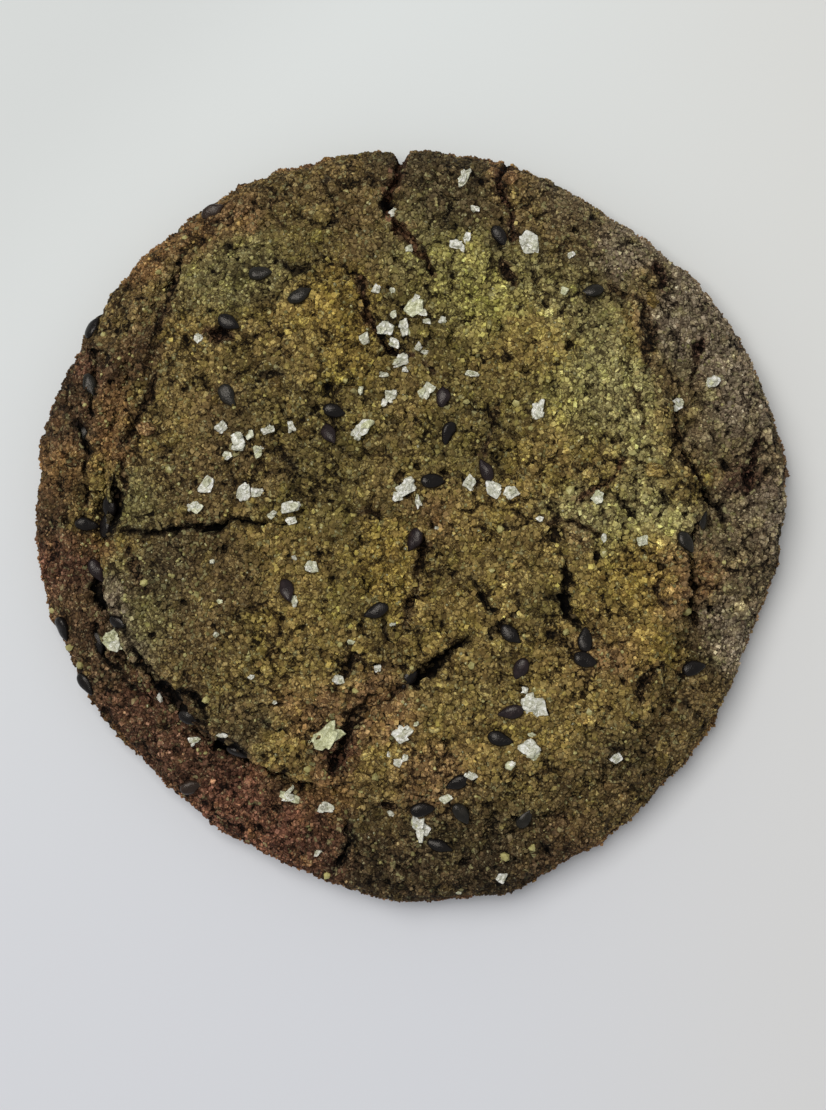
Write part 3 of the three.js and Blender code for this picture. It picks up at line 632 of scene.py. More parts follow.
class Corners:
    """What each corner of the body's mesh is: its loop, ring, angle and unrolled place."""

    def __init__(self, body):
        plan = coordinates(body)
        self.loop = np.round(-plan[:, 2] / PLAN_DROP)
        self.angle = np.arctan2(plan[:, 1], plan[:, 0]) % TURN
        reach = np.hypot(plan[:, 0], plan[:, 1])
        self.top = self.loop == 0
        self.under = self.loop == UNDER_LOOP
        self.side = ~(self.top | self.under)
        self.ring = np.round(reach * np.where(self.under, UNDER_RINGS, TOP_RINGS))
        drop = GIRTH_HEIGHT / SIDE_LOOPS * self.loop
        run = np.where(self.under, UNDER_RUN, SURFACE_RUN) * reach + self.side * drop
        shift = UNDER_SHIFT * self.under
        self.u = run * np.cos(self.angle) + shift
        self.v = run * np.sin(self.angle) + shift

    def placed(self):
        """The baked form, without its cracks and finest crags."""
        stops = [0, LIP_RING, FOOT_RING, CREST_RING, TOP_RINGS]
        steps = [0, LIP_STEP, FOOT_STEP, CREST_STEP, GIRTH_STEP]
        rows = top_corner(np.interp(self.ring, stops, steps), self.angle)
        height = GIRTH_HEIGHT * (1 - np.clip(self.loop / SIDE_LOOPS, 0, 1))
        inset = np.interp(height, TOE_HEIGHTS, TOE_INSETS)
        radius = girth_at(self.angle) - inset + side_bumps(SIDE_CRAG, self.angle, height)
        radius = np.where(self.under, (radius - UNDER_INSET) * self.ring / UNDER_RINGS, radius)
        low = np.stack([radius * np.cos(self.angle), radius * np.sin(self.angle), height], 1)
        return np.where(self.top[:, None], rows, low)


def smooth_path(points, pieces=14):
    """A smooth curve through points, as closely spaced rows, with how far along each lies."""
    points = np.array(points)
    ends = np.concatenate([[2 * points[0] - points[1]], points, [2 * points[-1] - points[-2]]])
    place = np.linspace(0, len(points) - 1, pieces * (len(points) - 1) + 1)
    start = np.minimum(np.floor(place).astype(int), len(points) - 2)
    beside = (ends[start + k] for k in range(4))
    return curve_between(*beside, (place - start)[:, None]), place / (len(points) - 1)


def in_order(faces, rows):
    """Faces and their corners in the order of their places, as modelling leaves them in another
    order on each run."""
    rank = np.argsort(np.lexsort(rows.T))
    faces = np.take_along_axis(faces, np.argsort(rank[faces], 1), 1)
    return faces[np.lexsort(rank[faces].T)]


class Surface:
    """Finds places on a mesh by pixels of the picture."""

    def __init__(self, piece, soft_normals, shift=(0, 0)):
        mesh = piece.data
        self.shift = shift
        faces = np.zeros(3 * len(mesh.polygons), np.int64)
        mesh.polygons.foreach_get("vertices", faces)
        self.rows = coordinates(piece)
        self.faces = in_order(faces.reshape(-1, 3), self.rows)
        self.soft = soft_normals
        self.tree = BVHTree.FromPolygons(self.rows.tolist(), self.faces.tolist())

    def under_pixel(self, px, py):
        """Place, soft normal and nearest corner of the surface that shows at a pixel."""
        height = NEAR_TOP
        for _ in range(3):
            x, y = np.array(place_at(px, py, height)) - self.shift[:2]
            hit, _, face, _ = self.tree.ray_cast(Vector((x, y, 0.05)), Vector((0, 0, -1)))
            height = hit.z if hit else GIRTH_HEIGHT
        if hit is None:
            hit, _, face, _ = self.tree.find_nearest(Vector((x, y, height)))
        corner = self.faces[face][0]
        return np.array(hit), self.soft[corner], corner


BROAD_STRAY, FINE_STRAY = (1.7 * MM, 0.3 * MM), (0.8 * MM, 0.2 * MM)   # of a crack's path


def astray(x, y, number):
    """How far each point of a crack wanders off its path, in a way of the crack's own."""
    wavelength, reach = BROAD_STRAY
    broad = reach * np.stack([bumps(x + number, y, wavelength), bumps(y, x - number, wavelength)])
    wavelength, reach = FINE_STRAY
    return broad + reach * np.stack([bumps(x, y + number, wavelength), bumps(y, x, wavelength)])


def crack_lines(surface):
    """Each crack's path on the surface, with its half width, its depth all along and the tint of its
    walls, stain and painted shade.
    """
    lines = []
    fine = [(width, depth, stain_and_shade, False, path) for width, depth, stain_and_shade, path in FISSURES]
    for number, (width, depth, stain_and_shade, is_open, path) in enumerate(CRACKS + fine):
        row = [surface.under_pixel(px, py)[0][:2] for px, py in path]
        if is_open:
            row[0] = np.array(place_at(*path[0], GIRTH_HEIGHT))
        curve, along = smooth_path(row)
        x, y = curve.T
        curve = curve + min(1.0, 0.35 + 0.4 * width) * astray(x, y, number).T
        begin, run = (0.5, 0.46) if is_open else (0.04, 0.92)
        fullness = np.sin(math.pi * (begin + run * along)) ** 0.6
        unevenness = 1 + 0.5 * bumps(x + number, y, 1.9 * MM) + 0.35 * bumps(y, x + number, 0.8 * MM)
        half = 0.5 * width * MM * fullness * unevenness
        lines.append((curve, half, depth * MM * fullness * (0.7 + 0.3 * unevenness), stain_and_shade))
    return lines


def nearest_on(line, x, y, margin):
    """Corners near a line: which they are, how far from it, and the nearest of its points."""
    low, high = line.min(0) - margin, line.max(0) + margin
    inside = (x > low[0]) & (x < high[0]) & (y > low[1]) & (y < high[1])
    close = np.flatnonzero(inside)
    gaps = np.hypot(x[close, None] - line[:, 0], y[close, None] - line[:, 1])
    return close, gaps.min(1), gaps.argmin(1)


NOTCH_PIXEL = (401, 170)          # tip of the split in the top edge
NOTCH_MOUTH = 2.3 * MM            # half its width at the edge
NOTCH_FLARE = 1.6 * MM            # how far out from the tip it has opened by 1 mm to each side


def notched(rows):
    """Pulls corners in to the walls of the split that runs right through the top edge."""
    tip = np.array(place_at(*NOTCH_PIXEL, GIRTH_HEIGHT))
    out = tip / np.hypot(*tip)
    radial = rows[:, 0] * out[0] + rows[:, 1] * out[1]
    aside = np.abs(rows[:, 1] * out[0] - rows[:, 0] * out[1])
    reach = np.hypot(*tip) + NOTCH_FLARE * np.sqrt(aside / MM)
    excess = np.where((aside < NOTCH_MOUTH) & (radial > reach), radial - reach, 0)
    rows[:, 0] -= excess * out[0]
    rows[:, 1] -= excess * out[1]
    return rows


# Small holes in the top: pixel, radius in mm.
HOLES = [
    (183, 390, 0.4), (186, 338, 0.4), (157, 328, 0.5), (328, 388, 0.6), (335, 473, 0.4),
    (526, 370, 0.6), (353, 273, 0.6), (575, 230, 0.5), (571, 343, 0.5), (700, 348, 0.5),
    (765, 472, 0.5), (725, 465, 0.5), (547, 851, 0.5), (285, 770, 0.5), (248, 247, 0.4),
    (466, 864, 0.4), (712, 608, 0.5), (736, 590, 0.5), (583, 696, 0.5), (557, 533, 1.1),
    (388, 206, 1.3), (431, 268, 0.9), (498, 631, 0.6), (660, 567, 0.5), (638, 480, 0.4),
    (66, 520, 0.5), (282, 297, 0.4)]
RANDOM_PITS = 400                 # finer ones, where chance puts them
PITTED_RADIUS = 43 * MM
PIT_SIZES = (0.2, 0.45)           # in mm
PIT_DEPTH = 1.1 * MM              # of the deepest

DARKEST = {"deep_shade": 1.0, "wine": 0.22, "umber": 0.1, "rust": -0.1}   # how far each crack's clefts are darkened as painted shade, by its wall tint
CRACK_MARGIN = 2.5 * MM           # how far from its path a crack can still change the crust
CLEFT_RUN = 0.5 * MM              # from a crack's edge, over which its mark rises and falls
BLOCK = 1.15 * MM                 # size of the blocks of crumb that a crack's edge steps round
BLOCK_STEP = 0.24 * MM            # how far a block stands into the crack or back from it
SHADE_AND_STAIN_SPREAD = 0.6 * MM           # of a crack's stain and painted shade, past its edge


class Crust:
    """The body as it bakes: the place of each corner, how smooth the crust is there, how deep in
    a hollow it lies (crevice) and how far inside a cleft (cleft), which both darken its colour as
    painted shade, and how far the cracks' stains and painted shade reach it."""

    def __init__(self):
        self.body = body_plan()
        self.spots = Corners(self.body)
        self.rows = self.spots.placed()
        set_coordinates(self.body, self.rows)
        self.soft = normals(self.body)
        self.calm = smoothness(self.rows[:, 0], self.rows[:, 1]) * self.spots.top
        self.crevice = np.zeros(len(self.rows))
        self.cleft = np.full(len(self.rows), -1.0)
        self.stain_and_shade = {name: np.zeros(len(self.rows)) for name in DARKEST}

    def unmark_underside(self):
        """Takes the marks of the top's cracks off the underside, which lies below them."""
        under = self.spots.under
        self.crevice[under] = 0
        self.cleft[under] = -1
        for mark in self.stain_and_shade.values():
            mark[under] = 0


def deepen(marks, corners, at_least):
    """Raises the marks of some corners to at least a value."""
    marks[corners] = np.maximum(marks[corners], at_least)


def carve_cracks(crust, surface):
    """Sinks the cracks into the crust, their edges stepping round blocks of crumb."""
    rows = crust.rows
    x, y = rows[:, 0], rows[:, 1]
    step_aside = BLOCK_STEP * cells(x, y, BLOCK)[2]
    for line, half, depth, stain_and_shade in crack_lines(surface):
        close, gap, nearest = nearest_on(line, x, y, CRACK_MARGIN)
        half, depth = half[nearest], depth[nearest]
        gap = np.maximum(gap + step_aside[close] * np.minimum(half / (0.5 * MM), 1), 0)
        share = np.clip(gap / np.maximum(half, 0.3 * MM), 0, 1)
        floor_height = np.maximum(rows[close, 2] - depth, THINNEST)
        dip = np.minimum(depth, rows[close, 2] - floor_height) * (1 - share ** 2.2)
        rows[close, 2] -= dip * ~crust.spots.under[close]
        # Painted shade: the crack's hollow and cleft marks darken the crust's colour in the
        # material.
        dark = DARKEST[stain_and_shade]
        hollow = (0.45 + 0.5 * dark) * (1 - share ** 3) * ramp(dip, 0, 1.2 * MM)
        deepen(crust.crevice, close, hollow)
        inside = np.clip((0.8 * half - gap) / CLEFT_RUN, -1, 1)
        deepen(crust.cleft, close, np.minimum(inside, dark))
        spread = half + SHADE_AND_STAIN_SPREAD * (0.6 + 0.5 * bumps(x[close], y[close], 1.1 * MM))
        deepen(crust.stain_and_shade[stain_and_shade], close, 1 - ramp(gap, 0.4 * spread, spread))


def carve_holes(crust, surface):
    """Sinks small round holes into the top: those of the picture and the random pits."""
    rows = crust.rows
    x, y = rows[:, 0], rows[:, 1]
    draws = np.random.default_rng(11)
    holes = [(*surface.under_pixel(px, py)[0][:2], size * MM) for px, py, size in HOLES]
    for _ in range(RANDOM_PITS):
        reach, turn = PITTED_RADIUS * draws.random() ** 0.5, TURN * draws.random()
        size = draws.uniform(*PIT_SIZES) * MM
        holes.append((reach * math.cos(turn), reach * math.sin(turn), size))
    for hx, hy, size in holes:
        beside = (np.abs(x - hx) < 2 * size) & (np.abs(y - hy) < 2 * size)
        close = np.flatnonzero(beside & crust.spots.top)
        gap = np.hypot(x[close] - hx, y[close] - hy) / size
        gap = gap + 0.3 * bumps(x[close], y[close], 0.7 * MM)
        dip = 1 - ramp(gap, 0.35, 1.15)
        rows[close, 2] -= min(1.5 * size, PIT_DEPTH) * dip
        # Painted shade in the hole, through its crevice and cleft marks.
        deepen(crust.crevice, close, 0.95 * dip)
        deepen(crust.cleft, close, np.clip((0.8 - gap) * size / CLEFT_RUN, -1, 1))


def bake_body():
    """The crust with its cracks, holes and crumb, and how far its middle was off the origin."""
    crust = Crust()
    surface = Surface(crust.body, crust.soft)
    carve_cracks(crust, surface)
    carve_holes(crust, surface)
    crust.unmark_underside()

    spots = crust.spots
    set_coordinates(crust.body, crust.rows)
    lift, crazed, hollow = crumble(spots, crust.calm)
    flat = spots.under | (spots.loop == SIDE_LOOPS)
    rows = crust.rows + normals(crust.body) * (lift * ~flat)[:, None]
    from_edge = UNDER_RINGS - spots.ring[spots.under]
    rows[spots.under, 2] += np.abs(lift[spots.under]) * ramp(from_edge, 0, 3)
    rows[flat & ~spots.under, 2] = 0
    rows[:, 2] = np.maximum(rows[:, 2], 0)
    crust.rows = notched(rows)
    # The crumb's fissures and hollows join the marks of painted shade.
    crust.cleft = np.maximum(crust.cleft, np.where(spots.top, crazed, -1))
    crust.crevice = np.clip(crust.crevice + hollow * (1 - crust.crevice), 0, 1)

    middle = (crust.rows.min(0) + crust.rows.max(0)) / 2
    shift = np.array([middle[0], middle[1], 0])
    set_coordinates(crust.body, crust.rows - shift)
    return crust, shift


def smoothness(x, y):
    """How smooth the crust is at each place, from 0 to 1."""
    return np.max([nearness(x, y, *spot) for spot in SMOOTH_CRUST], 0)


BIG_CLUMP, SMALL_CLUMP, BEAD = 2.6 * MM, 1.35 * MM, 0.8 * MM   # sizes of the crumb in the crust


def crumble(spots, calm):
    """Clumps of the crumb: how far each corner lifts, its mark as a fissure between two big
    clumps, and how deep in a hollow it lies; the material darkens fissures and hollows as painted
    shade."""
    wrinkle = drift(spots.u, spots.v, 1.9 * MM, 0.5 * MM)
    wrinkle += drift(spots.v, spots.u, 0.9 * MM, 0.2 * MM)
    u, v = spots.u + wrinkle[0], spots.v + wrinkle[1]
    near, second, pick, slant = cells(u, v, BIG_CLUMP)
    apart = second - near
    chance = ramp(bumps(u, v, 4 * MM) + 0.5 * bumps(v, u, 1.7 * MM), -0.15, 0.3)
    craze = (1 - ramp(apart, 0.03, 0.16)) * chance
    crazed = np.clip((0.05 - apart) * 2.2 + 0.5 * (chance - 1) - 0.3 * calm, -1, 0.5)
    lumps, between, level, tilt = cells(u, v, SMALL_CLUMP)
    seam = 1 - ramp(between - lumps, 0.0, 0.22)
    beads = cells(u + 40 * MM, v, BEAD)[0]

    # Heights in mm, of the big clumps first, then of the clumps on them and of the beads.
    lift = 0.14 * bumps(u, v, 1.6 * MM) + 0.10 * pick + 0.08 * slant - 0.28 * craze
    lift += 0.14 * level + 0.28 * tilt - 0.2 * seam + 0.16 * (0.5 - np.clip(lumps, 0, 1) ** 2)
    lift += 0.2 * (0.5 - np.clip(beads, 0, 1) ** 2)
    inner = 0.72 + 0.28 * ramp(CREST_RING + 6 - spots.ring, 0, 14)
    lift *= np.where(spots.under, 0.2, np.where(spots.top, inner, 0.5)) * (1 - 0.6 * calm)
    hollow = np.clip(0.48 * craze + 0.46 * seam + 0.25 * ramp(beads, 0.5, 0.9), 0, 0.8)
    return lift * MM, crazed, hollow * (1 - 0.4 * calm)


# ---------------------------------------------------------------- colour of the dough
TINT_GAIN = 2.19                  # tints are as seen, in the half shade between grains
PATCHIEST = math.radians(235)     # where on the rim the browning is the most uneven
BETWEEN_GRAINS = 0.76             # darkening of the body's own surface, which lies in that shade
PATCH_REACH = 2.2 ** -0.5         # share of its radius over which a patch fades
BRIGHTEST = 0.9                   # no dough is paler than this
YELLOWED = np.array([1.0, 1.04, 0.88])   # where the crumb took less colour


def uneven_rim(spots):
    """How unevenly the rim browned: from 0 on the rest of the cookie to 1 at its lower left."""
    toward = 0.5 + 0.5 * np.cos(spots.angle - PATCHIEST)
    return toward * np.where(spots.top, ramp(spots.ring, FOOT_RING - 8, FOOT_RING + 8), 1)


def dough_tints(crust):
    """Colour of each corner of the body, from the patches, the cracks' stains and painted shade, and
    drifts of both.
    """
    spots, flat = crust.spots, crust.rows[:, :2].T
    x, y = flat + drift(*flat, 4 * MM, 1.0 * MM) + drift(*flat, 1.5 * MM, 0.6 * MM)
    total = np.full(len(x), 1e-3)
    tint = total[:, None] * daylight("mud")
    for name, patches in PATCHES.items():
        weight = sum(nearness(x, y, px, py, PATCH_REACH * radius) for px, py, radius in patches)
        tint += weight[:, None] * daylight(name)
        total += weight
    tint /= total[:, None]
    browned = np.clip(~spots.top + ramp(spots.ring, TOP_RINGS - 6, TOP_RINGS - 1) * spots.top, 0, 1)
    side_tint = mix(daylight("base"), daylight("rust"), 0.5 + 0.5 * bumps(x, y, 6 * MM)[:, None])
    tint = mix(tint, side_tint, np.where(spots.under, 1, 0.6 * browned)[:, None])
    # The cracks' tints: stains, and painted shade in their depths.
    for name, weight in crust.stain_and_shade.items():
        tint = mix(tint, daylight(name), 0.8 * weight[:, None])
    shared = 0.19 * bumps(spots.u, spots.v, 2.2 * MM) + 0.2 * bumps(spots.v, spots.u, 1.2 * MM)
    shared *= 1 + 0.8 * uneven_rim(spots)
    tint = tint * (1 + shared)[:, None]
    warm = ramp(bumps(spots.v, spots.u, 1.7 * MM), 0.1, 0.9)[:, None]
    tint = tint * mix(np.ones(3), YELLOWED, warm)
    return np.clip(TINT_GAIN * tint, 0, BRIGHTEST)


# Discs of the baking layout, as (centre along both sides, radius): the top with the side, and
# the underside.
TOP_DISC, UNDER_DISC = (0.41, 0.40), (0.82, 0.17)


def bake_map(crust):
    """Lays the body out for baking: the top and side as one disc, the underside as another."""
    spots, mesh = crust.spots, crust.body.data
    layer = mesh.uv_layers.new(name="OFBake")
    top_share = (spots.ring + spots.loop * spots.side) / (TOP_RINGS + SIDE_LOOPS)
    reach = np.where(spots.under, UNDER_DISC[1] * spots.ring / UNDER_RINGS, TOP_DISC[1] * top_share)
    centre = np.where(spots.under, UNDER_DISC[0], TOP_DISC[0])
    turn = np.where(spots.under, -spots.angle, spots.angle)
    flat = np.stack([centre + reach * np.cos(turn), centre + reach * np.sin(turn)], 1)
    corner = np.zeros(len(mesh.loops), np.int64)
    mesh.loops.foreach_get("vertex_index", corner)
    layer.data.foreach_set("uv", flat[corner].astype(np.float32).ravel())


# ---------------------------------------------------------------- toppings and crumbs
def template(add, shape=None):
    """Corners and triangles of a shape that is modelled once and copied many times."""
    deselect_all()
    add()
    piece = bpy.context.object
    bpy.ops.object.transform_apply(location=True, rotation=True, scale=True)
    bpy.ops.object.mode_set(mode="EDIT")
    bpy.ops.mesh.select_all(action="SELECT")
    bpy.ops.mesh.quads_convert_to_tris()
    bpy.ops.object.mode_set(mode="OBJECT")
    rows = coordinates(piece)
    faces = np.array([face.vertices[:] for face in piece.data.polygons])
    bpy.data.objects.remove(piece)
    return (shape(rows) if shape else rows), faces


def mesh_piece(name, rows, faces, tints, smooth=False):
    """A piece from its corners, triangles and tints."""
    mesh = bpy.data.meshes.new(name)
    mesh.vertices.add(len(rows))
    mesh.vertices.foreach_set("co", rows.astype(np.float32).ravel())
    mesh.loops.add(faces.size)
    mesh.loops.foreach_set("vertex_index", faces.astype(np.int32).ravel())
    mesh.polygons.add(len(faces))
    mesh.polygons.foreach_set("loop_start", np.arange(0, faces.size, 3, dtype=np.int32))
    mesh.polygons.foreach_set("use_smooth", np.full(len(faces), smooth))
    mesh.update(calc_edges=True)
    piece = bpy.data.objects.new(name, mesh)
    bpy.context.collection.objects.link(piece)
    set_colour(piece, "tint", tints)
    return piece


def joined(name, copies, smooth=False):
    """One piece from many copies, each its corners, triangles and tint."""
    starts = np.cumsum([0] + [len(rows) for rows, _, _ in copies])
    faces = [triangles + start for (_, triangles, _), start in zip(copies, starts)]
    tints = [np.broadcast_to(tint, rows.shape) for rows, _, tint in copies]
    rows = np.concatenate([rows for rows, _, _ in copies])
    return mesh_piece(name, rows, np.concatenate(faces), np.concatenate(tints), smooth)


def lying(normal, heading, tilt=0.0, roll=0.0, upright=0.4):
    """Axes for a thing that lies on the surface: along its heading, across it and outwards."""
    up = mix(normal, np.array([0.0, 0.0, 1.0]), upright)
    up /= np.linalg.norm(up)
    ahead = np.array([math.cos(heading), math.sin(heading), 0.0])
    across = np.cross(up, ahead)
    across /= np.linalg.norm(across)
    ahead = np.cross(across, up)
    turned = Matrix((ahead, across, up)).transposed()
    turned = turned @ Matrix.Rotation(tilt, 3, "Y") @ Matrix.Rotation(roll, 3, "X")
    return np.array(turned)


def seed_shape(rows):
    """Draws a ball of diameter 1 out into a sesame seed with its point at +X."""
    x, y, z = rows.T
    taper = (1.04 - 0.3 * x) * (1 - 0.9 * np.clip(x - 0.06, 0, 1))
    plump = np.sign(z) * np.abs(2 * z) ** 0.75 / 2
    return np.stack([x, y * taper, plump * (1 - 0.5 * x)], 1) * np.array(SEED_SIZE)


SEED_DENT = 0.06 * MM             # of the coat's dents
PROUD, BURIED = 0.2, 0.02         # how far a seed's middle stands out, in its thickness


def sesame_seeds(surface):
    """Every seed of the picture, pressed into the dough, those with dusted coats the deepest."""
    ball = template(lambda: bpy.ops.mesh.primitive_uv_sphere_add(
        segments=24, ring_count=16, radius=0.5, rotation=(0, TURN / 4, 0)), seed_shape)
    draws = np.random.default_rng(3)
    copies = []
    for px, py, heading, coat in SEEDS:
        spot, normal, _ = surface.under_pixel(px, py)
        size = draws.uniform(0.9, 1.06, 3)
        axes = lying(normal, math.radians(heading), draws.normal(0, 0.12), draws.normal(0, 0.2))
        rows = ball[0] * size
        dent = SEED_DENT * bumps(rows[:, 0] + px, rows[:, 1] + py, 0.9 * MM)
        rows = rows + dent[:, None] * np.sign(rows)
        spot = spot + axes[:, 2] * (BURIED if coat == "dust_and_shade" else PROUD) * SEED_SIZE[2]
        copies.append((rows @ axes.T + spot, ball[1], np.array(SEED_COATS[coat])))
    return joined("sesame_seeds", copies, smooth=True)


def flake_outline(turn, sides, draws):
    """Radius of an uneven shard with a few straight sides, at each angle."""
    facing = (np.arange(sides) + draws.uniform(-0.24, 0.24, sides)) * TURN / sides
    reach = 0.42 * draws.uniform(0.8, 1.15, sides)
    away = np.cos(turn[:, None] - facing)
    radius = np.where(away > 0.2, reach / np.maximum(away, 0.2), 9.0).min(1)
    return np.minimum(radius, 0.62)


FLAKE_THICKNESS = (0.2, 0.34)     # in mm
SHARD_SHARES = (0.35, 0.62)       # of a flake's size, for the shards that lie on its largest
GREEN_TINGE = np.array([0.86, 0.88, 0.58])


def salt_flakes(surface):
    """Every flake of the picture, as one to four crumpled shards that lie over each other."""
    plate, triangles = template(ringed_drum)
    draws = np.random.default_rng(5)
    copies = []
    for px, py, long, short, heading in FLAKES + SMALL_FLAKES:
        spot, normal, _ = surface.under_pixel(px, py)
        reach = 0.35 * long * MM / PIXEL
        beside = [(reach, 0), (-reach, 0), (0, reach), (0, -reach)]
        brinks = [surface.under_pixel(px + right, py + down)[0][2] for right, down in beside]
        spot[2] = max(spot[2], np.mean(brinks))     # a flake bridges the hollow under it
        shards = 4 if long > 2.2 else 3 if long > 1.6 else 2 if long > 1.1 else 1
        for shard in range(shards):
            rows = plate.copy()
            turn = np.arctan2(rows[:, 1], rows[:, 0])
            edge = flake_outline(turn, draws.integers(4, 6), draws)
            part = 1.0 if shard == 0 else draws.uniform(*SHARD_SHARES)
            thick = draws.uniform(*FLAKE_THICKNESS) * MM
            rows[:, 0] *= edge * long * MM * part
            rows[:, 1] *= edge * short * MM * part
            nick = bumps(rows[:, 0] * 1.1 + px, rows[:, 1] + py + shard, 0.5 * MM)
            rows[:, :2] *= (1 + 0.06 * nick)[:, None]
            crumple = bumps(rows[:, 0] + px, rows[:, 1] + py + shard, 0.8 * MM) + 0.5 * nick
            rows[:, 2] = rows[:, 2] * thick + 0.12 * MM * crumple
            rows += draws.normal(0, 0.022, rows.shape) * (1, 1, 2.6) * MM
            axes = lying(normal, math.radians(heading) + draws.normal(0, 0.2) * (1 + shard),
                         draws.normal(0, 0.2), draws.normal(0, 0.2), 0.75)
            aside = np.zeros(3)
            if shard:
                aside = axes[:, 0] * draws.uniform(-0.32, 0.32) * long * MM
                aside = aside + axes[:, 1] * draws.uniform(-0.32, 0.32) * short * MM
            lift = axes[:, 2] * (0.2 + 0.08 * shard) * MM
            green = 0.9 if long > 4 else 0.8 * draws.random() ** 4
            tint = draws.uniform(0.88, 1.04) * mix(np.ones(3), GREEN_TINGE, green)
            copies.append((rows @ axes.T + spot + aside + lift, triangles, tint))
    return joined("salt_flakes", copies)


def ringed_drum():
    """A flat drum whose faces are cut into rings."""
    bpy.ops.mesh.primitive_cylinder_add(vertices=24, radius=1, depth=1, end_fill_type="NGON")
    bpy.ops.object.mode_set(mode="EDIT")
    bpy.ops.mesh.select_mode(type="FACE")
    bpy.ops.mesh.select_all(action="DESELECT")
    bpy.ops.object.mode_set(mode="OBJECT")
    for face in bpy.context.object.data.polygons:
        face.select = abs(face.normal.z) > 0.5
    bpy.ops.object.mode_set(mode="EDIT")
    bpy.ops.mesh.inset(thickness=0.12, use_individual=True)
    bpy.ops.mesh.inset(thickness=0.4, use_individual=True)
    bpy.ops.mesh.poke()
    bpy.ops.object.mode_set(mode="OBJECT")
    drum = bpy.context.object
    rows = coordinates(drum)
    rim = np.hypot(rows[:, 0], rows[:, 1]) > 0.97
    rows[rim, 2] *= 0.6
    set_coordinates(drum, rows)


def scattered(surface, crumbs, keep, draws):
    """Random spots on the surface, spread evenly over the faces that are kept."""
    a, b, c = (surface.rows[surface.faces[:, k]] for k in range(3))
    area = np.linalg.norm(np.cross(b - a, c - a), axis=1) * keep[surface.faces].min(1)
    face = draws.choice(len(area), crumbs, p=area / area.sum())
    f, g = draws.random((2, crumbs, 1))
    turn_back = f + g > 1
    f, g = np.where(turn_back, 1 - f, f), np.where(turn_back, 1 - g, g)
    return a[face] + f * (b - a)[face] + g * (c - a)[face], surface.faces[face][:, 0]


def random_turns(count, draws):
    """A rotation for each grain, as matrices, from random unit quaternions."""
    w, x, y, z = draws.normal(size=(count, 4)).T
    size = np.sqrt(w * w + x * x + y * y + z * z)
    w, x, y, z = w / size, x / size, y / size, z / size
    return np.stack([
        1 - 2 * (y * y + z * z), 2 * (x * y - w * z), 2 * (x * z + w * y),
        2 * (x * y + w * z), 1 - 2 * (x * x + z * z), 2 * (y * z - w * x),
        2 * (x * z - w * y), 2 * (y * z + w * x), 1 - 2 * (x * x + y * y)], 1).reshape(-1, 3, 3)


def loose_grains(name, shape, places, outward, sizes, sink, tints, draws):
    """Many small uneven lumps, each turned at random and sunk a little into the surface."""
    corners, triangles = shape
    count, each = len(places), len(corners)
    uneven = 1 + draws.uniform(-0.2, 0.2, (count, each, 1))
    stretch = draws.uniform(0.7, 1.25, (count, 1, 3)) * sizes[:, None, None]
    rows = np.einsum("nij,nkj->nki", random_turns(count, draws), corners * uneven * stretch)
    rows += (places + outward * (sizes * (0.5 - sink))[:, None])[:, None]
    rows[..., 2] = np.maximum(rows[..., 2], 0)
    faces = triangles[None] + each * np.arange(count)[:, None, None]
    tints = np.repeat(tints, each, 0)
    return mesh_piece(name, rows.reshape(-1, 3), faces.reshape(-1, 3), tints)


def lumpy(rows):
    """Swells and dents a ball of diameter 1 into a clump of crumbs."""
    x, y, z = rows.T
    swell = 0.22 * bumps(x + 3, y + z, 0.45) + 0.2 * bumps(y, z - x, 0.3)
    return rows * (1 + swell)[:, None]


SPECK_REACH = 0.56                # from a speck's middle to its corners, in its own sizes


def eight_sided(rows):
    """Draws the middle of a four-sided cone's base down, which makes a grain with eight faces."""
    rows[np.abs(rows).sum(1) < 0.01, 2] = -SPECK_REACH
    return rows


